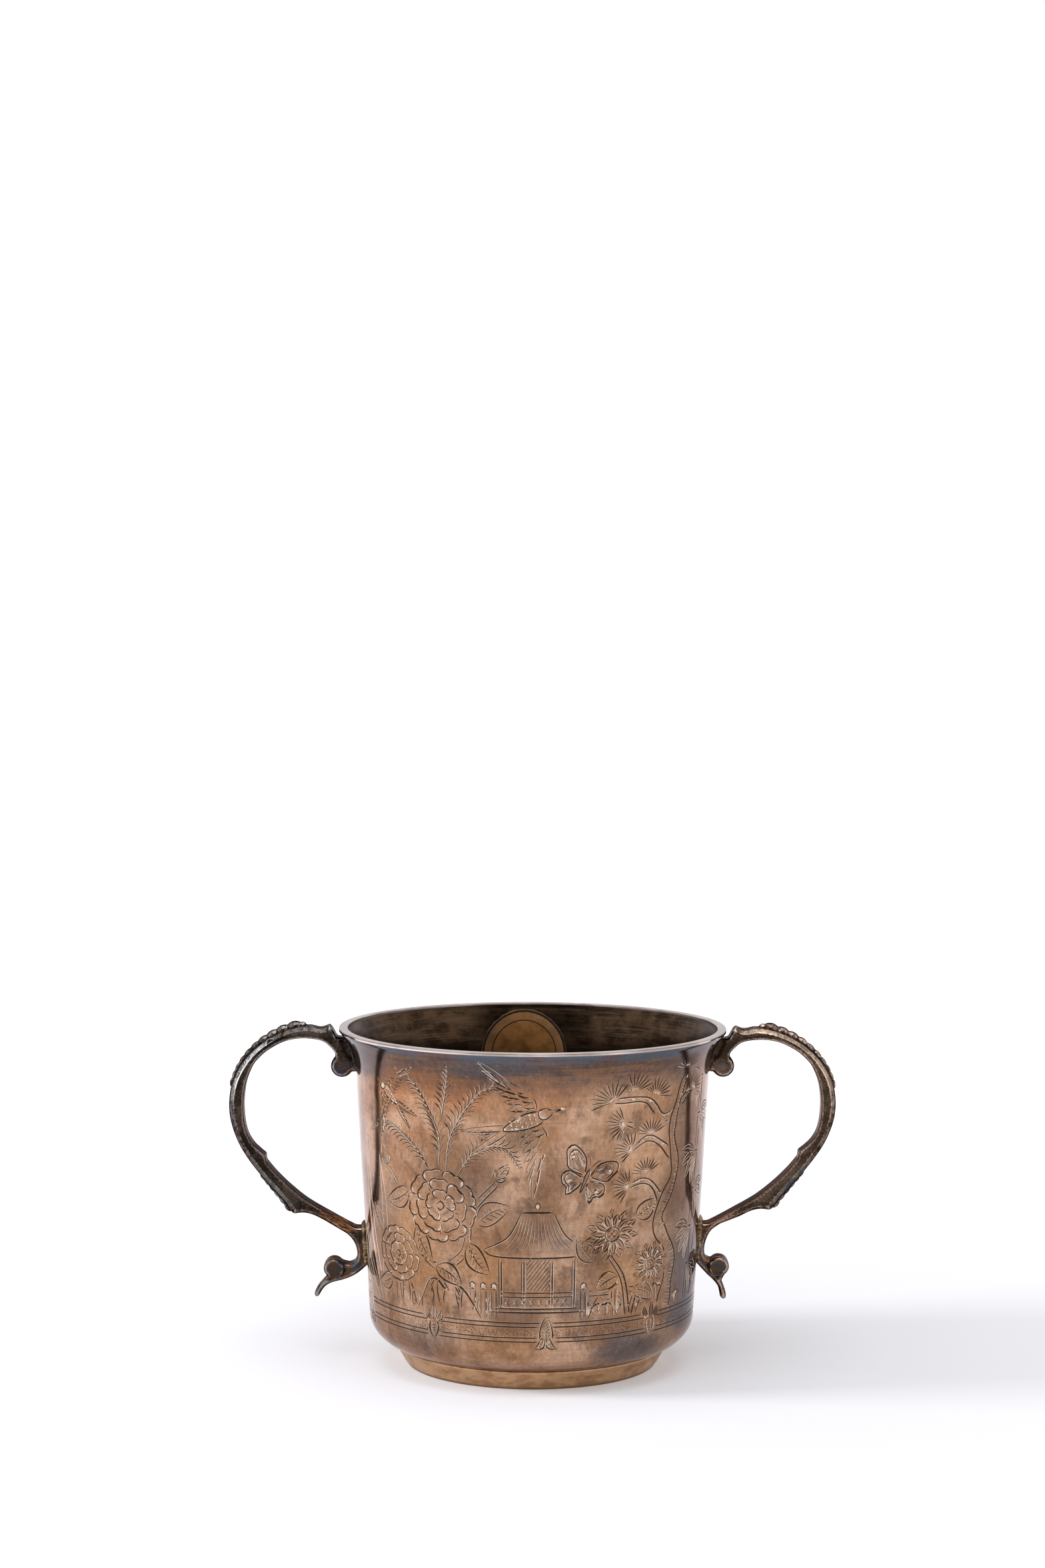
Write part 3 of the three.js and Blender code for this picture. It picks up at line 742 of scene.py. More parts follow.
# %% The garden on the front
def front_garden(pen):
    """Peonies and plumes on the left, a summer house in the middle, a pine, asters and bamboo beyond."""
    peony(pen, (-25, 49), 10.5, 0.3)
    peony(pen, (-41, 34.5), 8.5, 1.0, 0.85)
    bud(pen, (-44, 58), 3.2, 2.0)
    bud(pen, (-9, 57), 3.0, 0.9)
    swallow(pen, (-2.5, 71.3), 12.8, 0.35)
    swallow(pen, (-41, 76), 8.5, 2.5)
    butterfly(pen, (14, 57), 6.6, -0.4)
    for points, reach in (
        (((-25, 58), (-25, 68), (-31, 79), (-38, 84)), 3.4),
        (((-23, 58), (-21, 68), (-13, 79), (-7, 80)), 3.4),
        (((-24, 58), (-24, 70), (-21, 86)), 3.2),
        (((-27, 57), (-33, 64), (-43, 69), (-51, 66)), 3.2),
        (((-20, 57), (-14, 64), (-7, 65), (-3, 60)), 2.8),
    ):
        plume(pen, points, reach, 17)
    for centre, radius, angle in (
        ((21, 76.5), 6.8, 2.2), ((27, 78.5), 6.8, 1.7), ((34, 77), 6.4, 1.2), ((24.5, 70.5), 6.0, 3.2),
        ((45.5, 83), 5.6, 1.6), ((50, 77), 6.0, 0.9), ((27, 63.5), 6.0, 2.7), ((33, 67), 5.6, 1.7),
        ((26.5, 54), 5.8, 2.9), ((32, 57), 5.4, 1.8),
    ):
        pine_fan(pen, centre, radius, angle)
    aster(pen, (22, 42), 8.2, 0.2)
    aster(pen, (35, 33), 7.2, 0.5)
    for root, tip, belly, bend in (
        ((-14.5, 45), (-5.5, 50), 2.8, 1.0), ((-17, 40), (-11, 32), 2.6, -1.0),
        ((-35, 52), (-45, 48), 2.6, 1.0), ((-27, 33), (-19, 28.5), 2.4, 0.9),
        ((-33, 43), (-28, 34), 2.5, -0.9),
        ((-48, 39), (-54, 46), 2.3, -0.8), ((-44, 28), (-52, 25), 2.1, 0.7),
        ((17, 35), (12, 42), 2.2, 0.6), ((24, 31), (17.5, 27.5), 2.2, -0.6),
        ((29, 27), (37, 23.5), 2.1, 0.8), ((29, 46), (36, 50), 2.4, -0.6),
    ):
        leaf(pen, root, tip, belly, bend)
    stem(pen, ((-22, GROUND + 7), (-24, 32), (-18, 38), (-16, 48), (-9, 56)), 2.2)
    stem(pen, ((-23.5, 31), (-31, 36), (-34, 46), (-43.5, 57)), 1.7)
    for points, foot_width, top_width in (
        (((41, GROUND), (43, 34), (37, 44), (43, 56), (41, 68), (46, 82)), 5.0, 1.6),
        (((44, 72), (37, 71), (31, 76), (21, 76.5)), 2.4, 1.0),
        (((36, 72), (30, 69), (25, 70.5)), 1.6, 0.9),
        (((42, 60), (37, 64), (32, 66), (27, 63.5)), 2.2, 0.9),
        (((39, 47), (35, 53), (31, 55), (26.5, 54)), 2.0, 0.9),
        (((44, 74), (47, 76), (50, 77)), 1.6, 0.8),
    ):
        trunk(pen, points, foot_width, top_width)
    stem(pen, ((27.5, GROUND), (25.5, 30), (21, 37), (22, 42)), 1.5)
    stem(pen, ((28, GROUND), (30, 26), (34, 30), (35, 33)), 1.3)
    for x, width, height, seed in ((-24, 21, 12, 3), (-41, 15, 14, 8), (37, 14, 9, 4), (20, 9, 6, 5)):
        rock(pen, x, GROUND, width, height, seed)
    summer_house(pen, 1.5, GROUND + 1.2, 25, 28)
    bamboo(pen, (53, GROUND), (56, 80), 1.9, ((1, 1), (2, -1), (3, 1), (4, -1), (5, 1), (6, -1)))
    for foot, tip, belly, bend in (
        ((-49, GROUND), (-56, 66), 1.6, 3.0), ((-50, GROUND), (-48, 60), 1.5, -2.5),
        ((-51, GROUND), (-63, 55), 1.5, 4.0), ((-47.5, GROUND), (-42.5, 40), 1.3, -2.0),
        ((-52, GROUND), (-66, 40), 1.4, 3.5), ((-53, GROUND), (-63, 30), 1.2, 2.5),
        ((59, GROUND), (63, 48), 1.3, 2.5), ((60, GROUND), (68, 38), 1.3, -2.5),
    ):
        blade(pen, foot, tip, belly, bend)
    fence(pen, -16, -10, GROUND, 8)
    fence(pen, 14, 32, GROUND, 8)
    for x in (-61, -56, -33, -17, 15.5, 24, 31, 47, 62):
        tuft(pen, (x, GROUND), 5.5, 7, 3.2)

# %% The garden on the back
def back_garden(pen):
    """Bamboo and a rock on the left, an aster clump in the middle, peonies and iris on the right."""
    middle = TURN_LENGTH / 2
    peony(pen, (middle + 26, 54), 8.6, 0.9)
    peony(pen, (middle + 39, 37), 6.8, 0.1, 0.8)
    bud(pen, (middle + 15, 67), 2.4, 1.9)
    butterfly(pen, (middle - 3, 66), 6.6, 0.5)
    swallow(pen, (middle - 24, 68), 11.0, 0.4)
    swallow(pen, (middle + 12, 77), 7.5, 2.8)
    for points, reach in (
        (((26, 62), (25, 72), (19, 82), (12, 84)), 3.0),
        (((28, 62), (30, 72), (38, 80), (45, 79)), 3.2),
        (((27, 62), (27, 74), (29, 86)), 3.0),
    ):
        plume(pen, np.array(points) + (middle, 0), reach, 16)
    pine_fans = ((-44, 80, 6.2, 1.6), (-36, 82, 6.2, 1.2), (-51, 75, 6.0, 2.2), (-50, 64, 5.6, 2.6))
    for x, y, radius, angle in pine_fans:
        pine_fan(pen, (middle + x, y), radius, angle)
    aster(pen, (middle, 46), 7.4, 0.1)
    aster(pen, (middle - 13, 38), 6.0, 0.4)
    aster(pen, (middle + 10, 34), 5.2, 0.2)
    for root, tip, belly, bend in (
        ((2, 36), (9, 42), 1.9, 0.8), ((-5, 33), (-12, 29), 1.8, -0.8), ((19, 46), (11, 50), 2.1, 0.9),
        ((20, 58), (12, 60), 2.0, -0.8), ((30, 64), (36, 70), 2.0, 0.8), ((24, 36), (17, 32), 2.0, 0.8),
        ((35, 45), (43, 48), 1.9, -0.8),
    ):
        leaf(pen, (middle + root[0], root[1]), (middle + tip[0], tip[1]), belly, bend)
    stem(pen, ((middle + 1, GROUND), (middle - 1, 32), (middle, 45)), 1.3)
    stem(pen, ((middle, GROUND), (middle - 9, 29), (middle - 13, 37)), 1.1)
    stem(pen, ((middle + 3, GROUND), (middle + 8, 27), (middle + 10, 33)), 1.1)
    stem(pen, ((middle + 27, GROUND + 6), (middle + 22, 38), (middle + 24, 50), (middle + 16, 66)), 1.8)
    stem(pen, ((middle + 26, 30), (middle + 34, 31), (middle + 38, 36)), 1.2)
    for x, width, height, seed in ((27, 18, 11, 12), (-31, 17, 13, 6), (12, 10, 6, 9)):
        rock(pen, middle + x, GROUND, width, height, seed)
    bamboo(pen, (middle - 38, GROUND), (middle - 41, 77), 1.7, ((2, 1), (4, -1), (5, 1)))
    bamboo(pen, (middle - 44, GROUND), (middle - 48, 70), 1.4, ((2, -1), (3, 1), (4, -1)))
    for foot, tip, belly, bend in (
        ((44, 0), (50, 40), 1.2, -2.5), ((46, 0), (45, 46), 1.2, 2.0), ((47, 0), (57, 28), 1.1, -3.0),
        ((49, 0), (62, 16), 1.0, -2.0), ((-53, 0), (-60, 26), 1.1, 2.0), ((-52, 0), (-54, 36), 1.1, -1.0),
    ):
        blade(pen, (middle + foot[0], GROUND), (middle + tip[0], GROUND + tip[1]), belly, bend)
    fence(pen, middle - 22, middle - 4, GROUND, 8)
    for x in (-60, -49, -24, -8, 5, 18, 37, 41, 55):
        tuft(pen, (middle + x, GROUND), 5.5, 5, 2.6)

pen = Engraver()
pits = band(pen)
front_garden(pen)
back_garden(pen)
print("the engraver cut", len(pen.strokes), "strokes and", len(pits), "pits")

# %% [markdown]
# ## Cutting the grooves into the mesh
# A displacement map would need millions of faces to keep lines half a millimetre wide crisp.
# Here the strokes' edges and middles become edges of the mesh instead: a constrained Delaunay
# triangulation joins them to a coarse grid of the wall. Its points are then rolled round the cup and
# those inside a groove are sunk along the wall's normal, deepest along the middle of each stroke.

# %% Lay out the points and edges of the unrolled wall
DRAWN_BOTTOM, DRAWN_TOP = 2.0, CUP_HEIGHT - LIP_EDGE
CORNER_ROWS, WALL_ROWS, FLARE_ROWS = 12, 24, 18
GROOVE_SLOPE = 0.62

def stroke_mesh(curve, half_widths, first):
    """Points and edges of one stroke: its middle line, and two sides that meet it at both ends."""
    offset = (directions(curve)[1] * half_widths[:, None])[1:-1]
    points = np.vstack((curve, curve[1:-1] + offset, curve[1:-1] - offset))
    count, middle = len(curve), np.arange(len(curve))
    side = np.arange(count - 2)
    lines = [middle, np.concatenate(([0], count + side, [count - 1]))]
    lines.append(np.concatenate(([0], 2 * count - 2 + side, [count - 1])))
    edges = np.vstack([np.column_stack((line[:-1], line[1:])) for line in lines])
    return points, edges + first

def wall_layout(strokes, pits):
    """The wall's grid, every stroke and a four-sided rim with a middle point for every pit."""
    rows = np.concatenate((
        np.linspace(DRAWN_BOTTOM, CORNER_TOP, CORNER_ROWS, endpoint=False),
        np.linspace(CORNER_TOP, FLARE_BOTTOM, WALL_ROWS, endpoint=False),
        np.linspace(FLARE_BOTTOM, DRAWN_TOP, FLARE_ROWS),
    ))
    columns = np.linspace(SEAM, SEAM + TURN_LENGTH, COLUMNS + 1)
    points = [np.stack(np.meshgrid(columns, rows), axis=-1).reshape(-1, 2)]
    edges = []
    first = len(points[0])
    for curve, half_widths in strokes:
        stroke_points, stroke_edges = stroke_mesh(curve, half_widths, first)
        points.append(stroke_points)
        edges.append(stroke_edges)
        first += len(stroke_points)
    corners = STIPPLE_RADIUS * np.array(((1, 0), (0, 1), (-1, 0), (0, -1), (0, 0)))
    points.append((pits[:, None, :] + corners).reshape(-1, 2))
    rim = np.array(((0, 1), (1, 2), (2, 3), (3, 0)))
    edges.append((first + 5 * np.arange(len(pits))[:, None, None] + rim).reshape(-1, 2))
    return np.vstack(points), np.vstack(edges)

def triangulated(points, edges):
    """Flat points and the triangles that a constrained Delaunay triangulation joins them to."""
    result = delaunay_2d_cdt(points.tolist(), edges.tolist(), [], 0, 1e-6)
    return np.array([tuple(point) for point in result[0]]), np.array(result[2])

# %% Find how deep each point lies
CELL = 1.3

def segments_of(strokes, pits):
    """Ends and half widths of all stroke segments; a pit is a segment of no length."""
    starts = np.vstack([curve[:-1] for curve, half in strokes] + [pits])
    ends = np.vstack([curve[1:] for curve, half in strokes] + [pits])
    tapered = [np.concatenate(([0.0], half[1:-1], [0.0])) for curve, half in strokes]
    pit_half = np.full(len(pits), STIPPLE_RADIUS)
    start_half = np.concatenate([half[:-1] for half in tapered] + [pit_half])
    end_half = np.concatenate([half[1:] for half in tapered] + [pit_half])
    return starts, ends, start_half, end_half

def pairs_nearby(points, places):
    """Pairs of a place and each point in its own or the eight neighbouring square cells."""
    low = np.minimum(points.min(axis=0), places.min(axis=0)) - 2 * CELL
    width = int((max(points[:, 0].max(), places[:, 0].max()) - low[0]) / CELL) + 4
    point_cells = ((points - low) / CELL).astype(int) @ (1, width)
    place_cells = ((places - low) / CELL).astype(int) @ (1, width)
    order = np.argsort(point_cells, kind="stable")
    ordered = point_cells[order]
    for neighbour in (np.arange(-1, 2)[:, None] + width * np.arange(-1, 2)).ravel():
        first = np.searchsorted(ordered, place_cells + neighbour, "left")
        count = np.searchsorted(ordered, place_cells + neighbour, "right") - first
        place = np.repeat(np.arange(len(places)), count)
        within = np.arange(count.sum()) - np.repeat(np.cumsum(count) - count, count)
        yield place, order[within + np.repeat(first, count)]

def groove_depth(points, strokes, pits):
    """The deepest V over each point: its half width less the distance from its middle, times the slope.

    The second result is how far the point lies to the left of the tool's path, 1 at the groove's edge.
    """
    starts, ends, start_half, end_half = segments_of(strokes, pits)
    depth, left = np.zeros((2, len(points)))
    for segment, point in pairs_nearby(points, (starts + ends) / 2):
        run = (ends - starts)[segment]
        from_start = points[point] - starts[segment]
        share = np.clip((from_start * run).sum(axis=1) / np.maximum((run * run).sum(axis=1), 1e-12), 0, 1)
        distance = np.linalg.norm(from_start - run * share[:, None], axis=1)
        half = start_half[segment] * (1 - share) + end_half[segment] * share
        np.maximum.at(depth, point, np.maximum(half - distance, 0) * GROOVE_SLOPE)
        across = run[:, 0] * from_start[:, 1] - run[:, 1] * from_start[:, 0]
        across /= np.maximum(np.linalg.norm(run, axis=1), 1e-6) * half
        np.maximum.at(left, point, np.where(distance < half * 1.02, across, 0))
    return depth, left

# %% [markdown]
# ## One closed body
# The triangulated wall ends in two rings of points, one under the corner and one at the lip's edge.
# The lip, the inside, the floor and the underside are lathe rows that start from those rings, so the
# body is one closed skin. The seam of the paper lies behind the left handle, where both edges hold
# the same heights and are joined point to point. Sound metal gets the wall's own normals, and the
# flanks of the grooves their flat ones, so that each cut catches the light on one side. Each point
# keeps how deep it lies and on which flank, because a tilted graver leaves one flank bright and the
# other rough, where dirt stays.

# %% Close the body with lathe rows
FLAT_FLOOR = (2, 26, 7)
LIP_EDGE_ROWS = 9

def lip_rows():
    """From the lip's outer edge over its flat top and rounded corners down the inside to the floor."""
    turn = np.linspace(0, math.pi / 2, 4)[:, None]
    rounding = LIP_ROUNDING * np.column_stack((np.sin(turn), np.cos(turn)))
    outer_corner = (LIP_RADIUS - LIP_ROUNDING, CUP_HEIGHT - LIP_ROUNDING)
    inner_corner = (LIP_RADIUS - LIP_WIDTH + LIP_ROUNDING, CUP_HEIGHT - LIP_ROUNDING)
    heights = np.linspace(DRAWN_TOP, FLARE_BOTTOM, 16)
    straight = np.linspace(FLARE_BOTTOM, CORNER_TOP, 14)[1:-1]
    drop = np.concatenate((heights, straight))
    return np.vstack((
        np.array(((LIP_RADIUS, DRAWN_TOP + 0.15),)),
        outer_corner + rounding[::-1],
        inner_corner + rounding * (-1, 1),
        np.column_stack((inner_radius(drop), drop)),
        corner_arc(np.linspace(1, 0, 14), CORNER_WIDTH - WALL, CORNER_HEIGHT - FLOOR),
        np.array([(radius, FLOOR_HEIGHT + FLOOR) for radius in np.linspace(*FLAT_FLOOR)[::-1]]),
    ))

def underside_rows():
    """From near the middle of the underside out to the ring where the drawn wall begins."""
    turn = np.linspace(0, 1 - (CORNER_TOP - DRAWN_BOTTOM) / CORNER_LENGTH, 6)[:-1]
    flat = np.array([(radius, FLOOR_HEIGHT) for radius in np.linspace(*FLAT_FLOOR)])
    return np.vstack((flat, corner_arc(turn, CORNER_WIDTH, CORNER_HEIGHT)))

def profile_normals(profile, angles):
    """Normals of a turned profile: its own direction turned a quarter, carried round the axis."""
    slope = unit(np.gradient(profile, axis=0))
    return turned(np.column_stack((slope[:, 1], -slope[:, 0])), angles)

def ring_quads(lower, upper):
    """Quads between two rings of point numbers that run the same way round."""
    return np.column_stack((lower, np.roll(lower, -1), np.roll(upper, -1), upper))

def fan(ring, middle, upward):
    """Triangles from a ring of point numbers to a middle point."""
    after = np.roll(ring, -1)
    corners = (ring, after) if upward else (after, ring)
    return np.column_stack((*corners, np.full(len(ring), middle)))

def boundary(points, axis, value):
    """Numbers of the points on one side of the unrolled wall, in order along it."""
    found = np.flatnonzero(np.abs(points[:, axis] - value) < 1e-4)
    return found[np.argsort(points[found, 1 - axis])]

# %% Build the engraved body
SHALLOWEST_CUT = 0.006

def engraved_body(strokes, pits):
    """The triangulated wall rolled round the cup and joined at its seam to lathe rows above and below."""
    flat, triangles = triangulated(*wall_layout(strokes, pits))
    a, b, c = (flat[triangles[:, corner]] for corner in range(3))
    area = (b - a)[:, 0] * (c - a)[:, 1] - (b - a)[:, 1] * (c - a)[:, 0]
    triangles, area = triangles[np.abs(area) > 1e-9], area[np.abs(area) > 1e-9]
    triangles[area < 0] = triangles[area < 0][:, ::-1]
    depth, flank = groove_depth(flat, strokes, pits)
    left, right = boundary(flat, 0, SEAM), boundary(flat, 0, SEAM + TURN_LENGTH)
    depth[left] = depth[right] = 0
    normals = wall_normal(flat[:, 0], flat[:, 1])
    wall = wall_point(flat[:, 0], flat[:, 1]) - normals * depth[:, None]
    joined = np.arange(len(flat))
    joined[right] = left
    bottom = joined[boundary(flat, 1, DRAWN_BOTTOM)][:-1]
    top = joined[boundary(flat, 1, DRAWN_TOP)][:-1]
    angles = np.linspace(SEAM, SEAM + TURN_LENGTH, COLUMNS + 1)[:-1] / DRAWING_RADIUS
    over, under = lip_rows(), underside_rows()
    over_first = len(flat)
    under_first = over_first + len(over) * COLUMNS
    middle_in = under_first + len(under) * COLUMNS
    poles = np.array(((0, 0, FLOOR_HEIGHT + FLOOR), (0, 0, FLOOR_HEIGHT)))
    points = np.vstack((wall, turned(over, angles), turned(under, angles), poles))
    all_normals = np.vstack((
        normals, profile_normals(over, angles), profile_normals(under, angles), ((0, 0, 1), (0, 0, -1)),
    ))
    ring = np.arange(COLUMNS)
    quads = np.vstack((
        ring_quads(under_first + (len(under) - 1) * COLUMNS + ring, bottom),
        ring_quads(top, over_first + ring),
        grid_faces(len(over), COLUMNS, over_first),
        grid_faces(len(under), COLUMNS, under_first),
    ))
    caps = np.vstack((
        fan(over_first + (len(over) - 1) * COLUMNS + ring, middle_in, True),
        fan(under_first + ring, middle_in + 1, False),
    ))
    triangles = np.vstack((joined[triangles], caps))
    used = np.zeros(len(points), bool)
    used[triangles.ravel()] = used[quads.ravel()] = True
    renumber = np.cumsum(used) - 1
    cut, flank = (
        np.concatenate((values, np.zeros(len(points) - len(values))))[used] for values in (depth, flank)
    )
    within = np.zeros(len(points))
    within[over_first + LIP_EDGE_ROWS * COLUMNS:under_first] = within[middle_in] = 1
    return points[used], renumber[triangles], renumber[quads], all_normals[used], cut, flank, within[used]

def store(piece, name, values):
    """Keeps one number per point in a named attribute that materials can read."""
    piece.data.attributes.new(name, "FLOAT", "POINT").data.foreach_set("value", values.astype(np.float32))

points, triangles, quads, normals, cut, flank, within = engraved_body(pen.strokes, pits)
body = new_piece("engraved_body", points, (triangles, quads))
corners = np.concatenate((triangles.ravel(), quads.ravel()))
corner_normals = normals[corners]
faces = points[triangles]
flat_normals = unit(np.cross(faces[:, 1] - faces[:, 0], faces[:, 2] - faces[:, 0]))
in_groove = np.repeat((cut[triangles] > SHALLOWEST_CUT).any(axis=1), 3)
corner_normals[:triangles.size][in_groove] = np.repeat(flat_normals, 3, axis=0)[in_groove]
body.data.normals_split_custom_set(corner_normals.tolist())
store(body, "cut", np.clip(cut / (CONTOUR / 2 * GROOVE_SLOPE), 0, 1))
store(body, "flank", flank)
store(body, "within", within)
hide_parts("cup_body")
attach(body, "root")

# %% [markdown]
# ## The foot and its solder
# The foot is a strip bent to a ring that tapers to the table. Its lower edge has been worn round by
# centuries of sliding, and the strip is a little uneven. A lathe profile gives the ring, and slow
# waves round it stand for the hand work. Inside, the fillet of solder is as lumpy as it was run.

# %% Turn the foot ring and the solder seam
foot_high = np.array(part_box("foot_ring")[1]) / MM
FOOT_RADIUS, FOOT_TAPER, FOOT_WALL, FOOT_WEAR = foot_high[0], 3.2, 1.2, 0.3
SEAM_REACH, SEAM_DROP = 1.4, 1.2
FOOT_COLUMNS = 192
RING_WAVES = ((3, 0, 0.7, 0.5), (8, 0, 2.0, 0.3), (19, 0, 0.0, 0.2))

def underside_height(radius):
    """Height of the body's underside over the corner's ellipse."""
    across = np.clip((radius - (BASE_RADIUS - CORNER_WIDTH)) / CORNER_WIDTH, 0, 1)
    return CORNER_TOP - CORNER_HEIGHT * np.sqrt(1 - across ** 2)

def foot_profile():
    """The ring's section: worn lower edges, the tapering outside and a top that meets the underside."""
    top, bottom = FOOT_RADIUS, FOOT_RADIUS - FOOT_TAPER
    wear = FOOT_WEAR * (1 - np.sqrt(1 - np.linspace(0, 1, 4) ** 2))
    reach = FOOT_WEAR * (1 - np.linspace(0, 1, 4))
    outer_edge = np.column_stack((bottom - reach * 0.8, wear))
    heights = np.linspace(FOOT_WEAR, underside_height(top) - 0.05, 8)[1:]
    outer = np.column_stack((bottom + FOOT_TAPER * heights / heights[-1], heights))
    inner_top = top - FOOT_WALL
    inner_heights = np.linspace(underside_height(inner_top) - 0.05, FOOT_WEAR, 6)
    inner = np.column_stack((
        inner_top - FOOT_TAPER * (1 - inner_heights / inner_heights[0]), inner_heights,
    ))
    return np.vstack((outer_edge, outer, inner, ((bottom - FOOT_WALL + FOOT_WEAR * 0.8, 0.0),)))

def wavy_ring(name, profile, columns, wave):
    """A closed section turned round the axis, its radius waving slowly within the wave's size."""
    angles = np.linspace(0, 2 * math.pi, columns, endpoint=False)
    points = turned(profile, angles)
    turn = np.tile(angles, len(profile))
    stray = wave * (waves(RING_WAVES, turn) - 1)
    points[:, :2] *= (1 + stray / np.linalg.norm(points[:, :2], axis=1))[:, None]
    return new_piece(name, points, (grid_faces(len(profile), columns, close_rows=True),))

foot = wavy_ring("worn_foot_ring", foot_profile(), FOOT_COLUMNS, 0.03)
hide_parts("foot_ring")
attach(foot, "root")

seam_top = FOOT_RADIUS - FOOT_WALL - 0.25
seam_height = underside_height(np.array(seam_top - SEAM_REACH)) - 0.02
fillet = np.linspace(0, math.pi / 2, 6)
seam_profile = np.column_stack((
    seam_top - SEAM_REACH * (1 - np.sin(fillet)) - 0.1,
    seam_height - SEAM_DROP * (1 - np.cos(fillet)),
))
seam_profile = np.vstack((seam_profile[::-1], ((seam_top, seam_height),)))
foot_seam = wavy_ring("solder_fillet", seam_profile[::-1], FOOT_COLUMNS, 0.12)
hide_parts("foot_solder_seam")
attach(foot_seam, "root")

# %% [markdown]
# ## The cast handles
# Each handle was cast solid in a two-part mould and dressed with files: a strap whose back is
# chamfered, with a row of beads along it, a leaf tip beside the lip, a volute, a step inside the
# loop and a curled foot with a knob and a pointed tail. The outline is drawn as the frame draws it,
# by stand-off from the wall and share of the height. The side face is a height over that outline,
# set by the distance to its edge, which makes chamfers and ridges that never cross themselves.

# %% Outline of a casting
handle_high = np.array(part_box("handle_left")[1]) / MM
TAIL_TIP, LEAF_RISE, HANDLE_REACH, RIGHT_LIFT = 16.7, 0.7, 34.2, 1.6
HANDLE_HEIGHT = CUP_HEIGHT + LEAF_RISE - TAIL_TIP
HANDLE_HALF_WIDTH = handle_high[1]
KNOB_RADIUS, VOLUTE_RADIUS = 2.7, 3.0
KNOB_ARC, VOLUTE_ARC = (2.44, -0.87), (0.96, -2.62)
OUTLINE_STEP, ROOT_DEPTH = 0.4, 0.35
CASTINGS = (("left", -1, 0.0), ("right", 1, RIGHT_LIFT))

root_top_shares = ((-0.17, 0.942), (0.059, 0.952), (0.052, 0.984))
back_shares = (
    (0.074, 0.995), (0.143, 0.985), (0.225, 0.992), (0.316, 0.989), (0.424, 0.976), (0.564, 0.954),
    (0.702, 0.923), (0.83, 0.881), (0.921, 0.832), (0.973, 0.778), (1.0, 0.72), (1.002, 0.661),
    (0.975, 0.601), (0.929, 0.547), (0.865, 0.496), (0.785, 0.445), (0.692, 0.393), (0.608, 0.345),
    (0.565, 0.314),
)
stem_shares = ((0.546, 0.308), (0.475, 0.312), (0.4, 0.305), (0.309, 0.284))
inner_stem_shares = (
    (-0.035, 0.262), (0.054, 0.259), (0.106, 0.268), (0.256, 0.307), (0.428, 0.355), (0.556, 0.404),
    (0.66, 0.453), (0.737, 0.498),
)
inner_loop_shares = (
    (0.74, 0.522), (0.787, 0.541), (0.833, 0.564), (0.87, 0.597), (0.888, 0.639), (0.89, 0.696),
    (0.877, 0.745), (0.851, 0.793), (0.798, 0.845), (0.733, 0.876), (0.644, 0.904), (0.494, 0.934),
    (0.353, 0.946), (0.237, 0.943), (0.181, 0.934), (0.151, 0.915), (0.132, 0.897),
)
volute_centre_share, volute_foot_share = (0.102, 0.847), (-0.095, 0.825)
terminals = {
    "left": {
        "hook": ((0.212, 0.257), (0.134, 0.234), (0.09, 0.208), (0.071, 0.181), (0.071, 0.157),
                 (0.094, 0.135), (0.139, 0.126)),
        "knob": (0.261, 0.11),
        "tail_outer": ((0.352, 0.064), (0.392, 0.044), (0.422, 0.02), (0.426, 0.006), (0.412, 0.0)),
        "tail_inner": ((0.391, 0.005), (0.367, 0.024), (0.329, 0.044), (0.274, 0.057), (0.203, 0.065),
                       (0.134, 0.077), (0.067, 0.096), (-0.017, 0.128)),
    },
    "right": {
        "hook": ((0.16, 0.279), (0.094, 0.255), (0.062, 0.224), (0.051, 0.197), (0.053, 0.175),
                 (0.065, 0.158), (0.089, 0.152)),
        "knob": (0.175, 0.124),
        "tail_outer": ((0.203, 0.07), (0.229, 0.045), (0.246, 0.022), (0.25, 0.005), (0.228, -0.002)),
        "tail_inner": ((0.203, 0.008), (0.192, 0.03), (0.178, 0.049), (0.144, 0.069), (0.094, 0.09),
                       (0.05, 0.111), (-0.025, 0.147)),
    },
}

def placed(shares, lift=0.0):
    """Outline points in the handle's plane: the wall's radius at each height plus a share of the reach."""
    shares = np.atleast_2d(np.asarray(shares, float))
    height = TAIL_TIP + HANDLE_HEIGHT * shares[:, 1]
    fade = np.clip((1 - shares[:, 1]) * 2, 0, 1)
    return np.column_stack((outer_radius(height) + HANDLE_REACH * shares[:, 0], height + lift * fade))

def arc(centre, radius, angles):
    """Points of a circular arc between two angles."""
    turn = np.linspace(*angles, 24)[:, None]
    return centre + radius * np.hstack((np.cos(turn), np.sin(turn)))

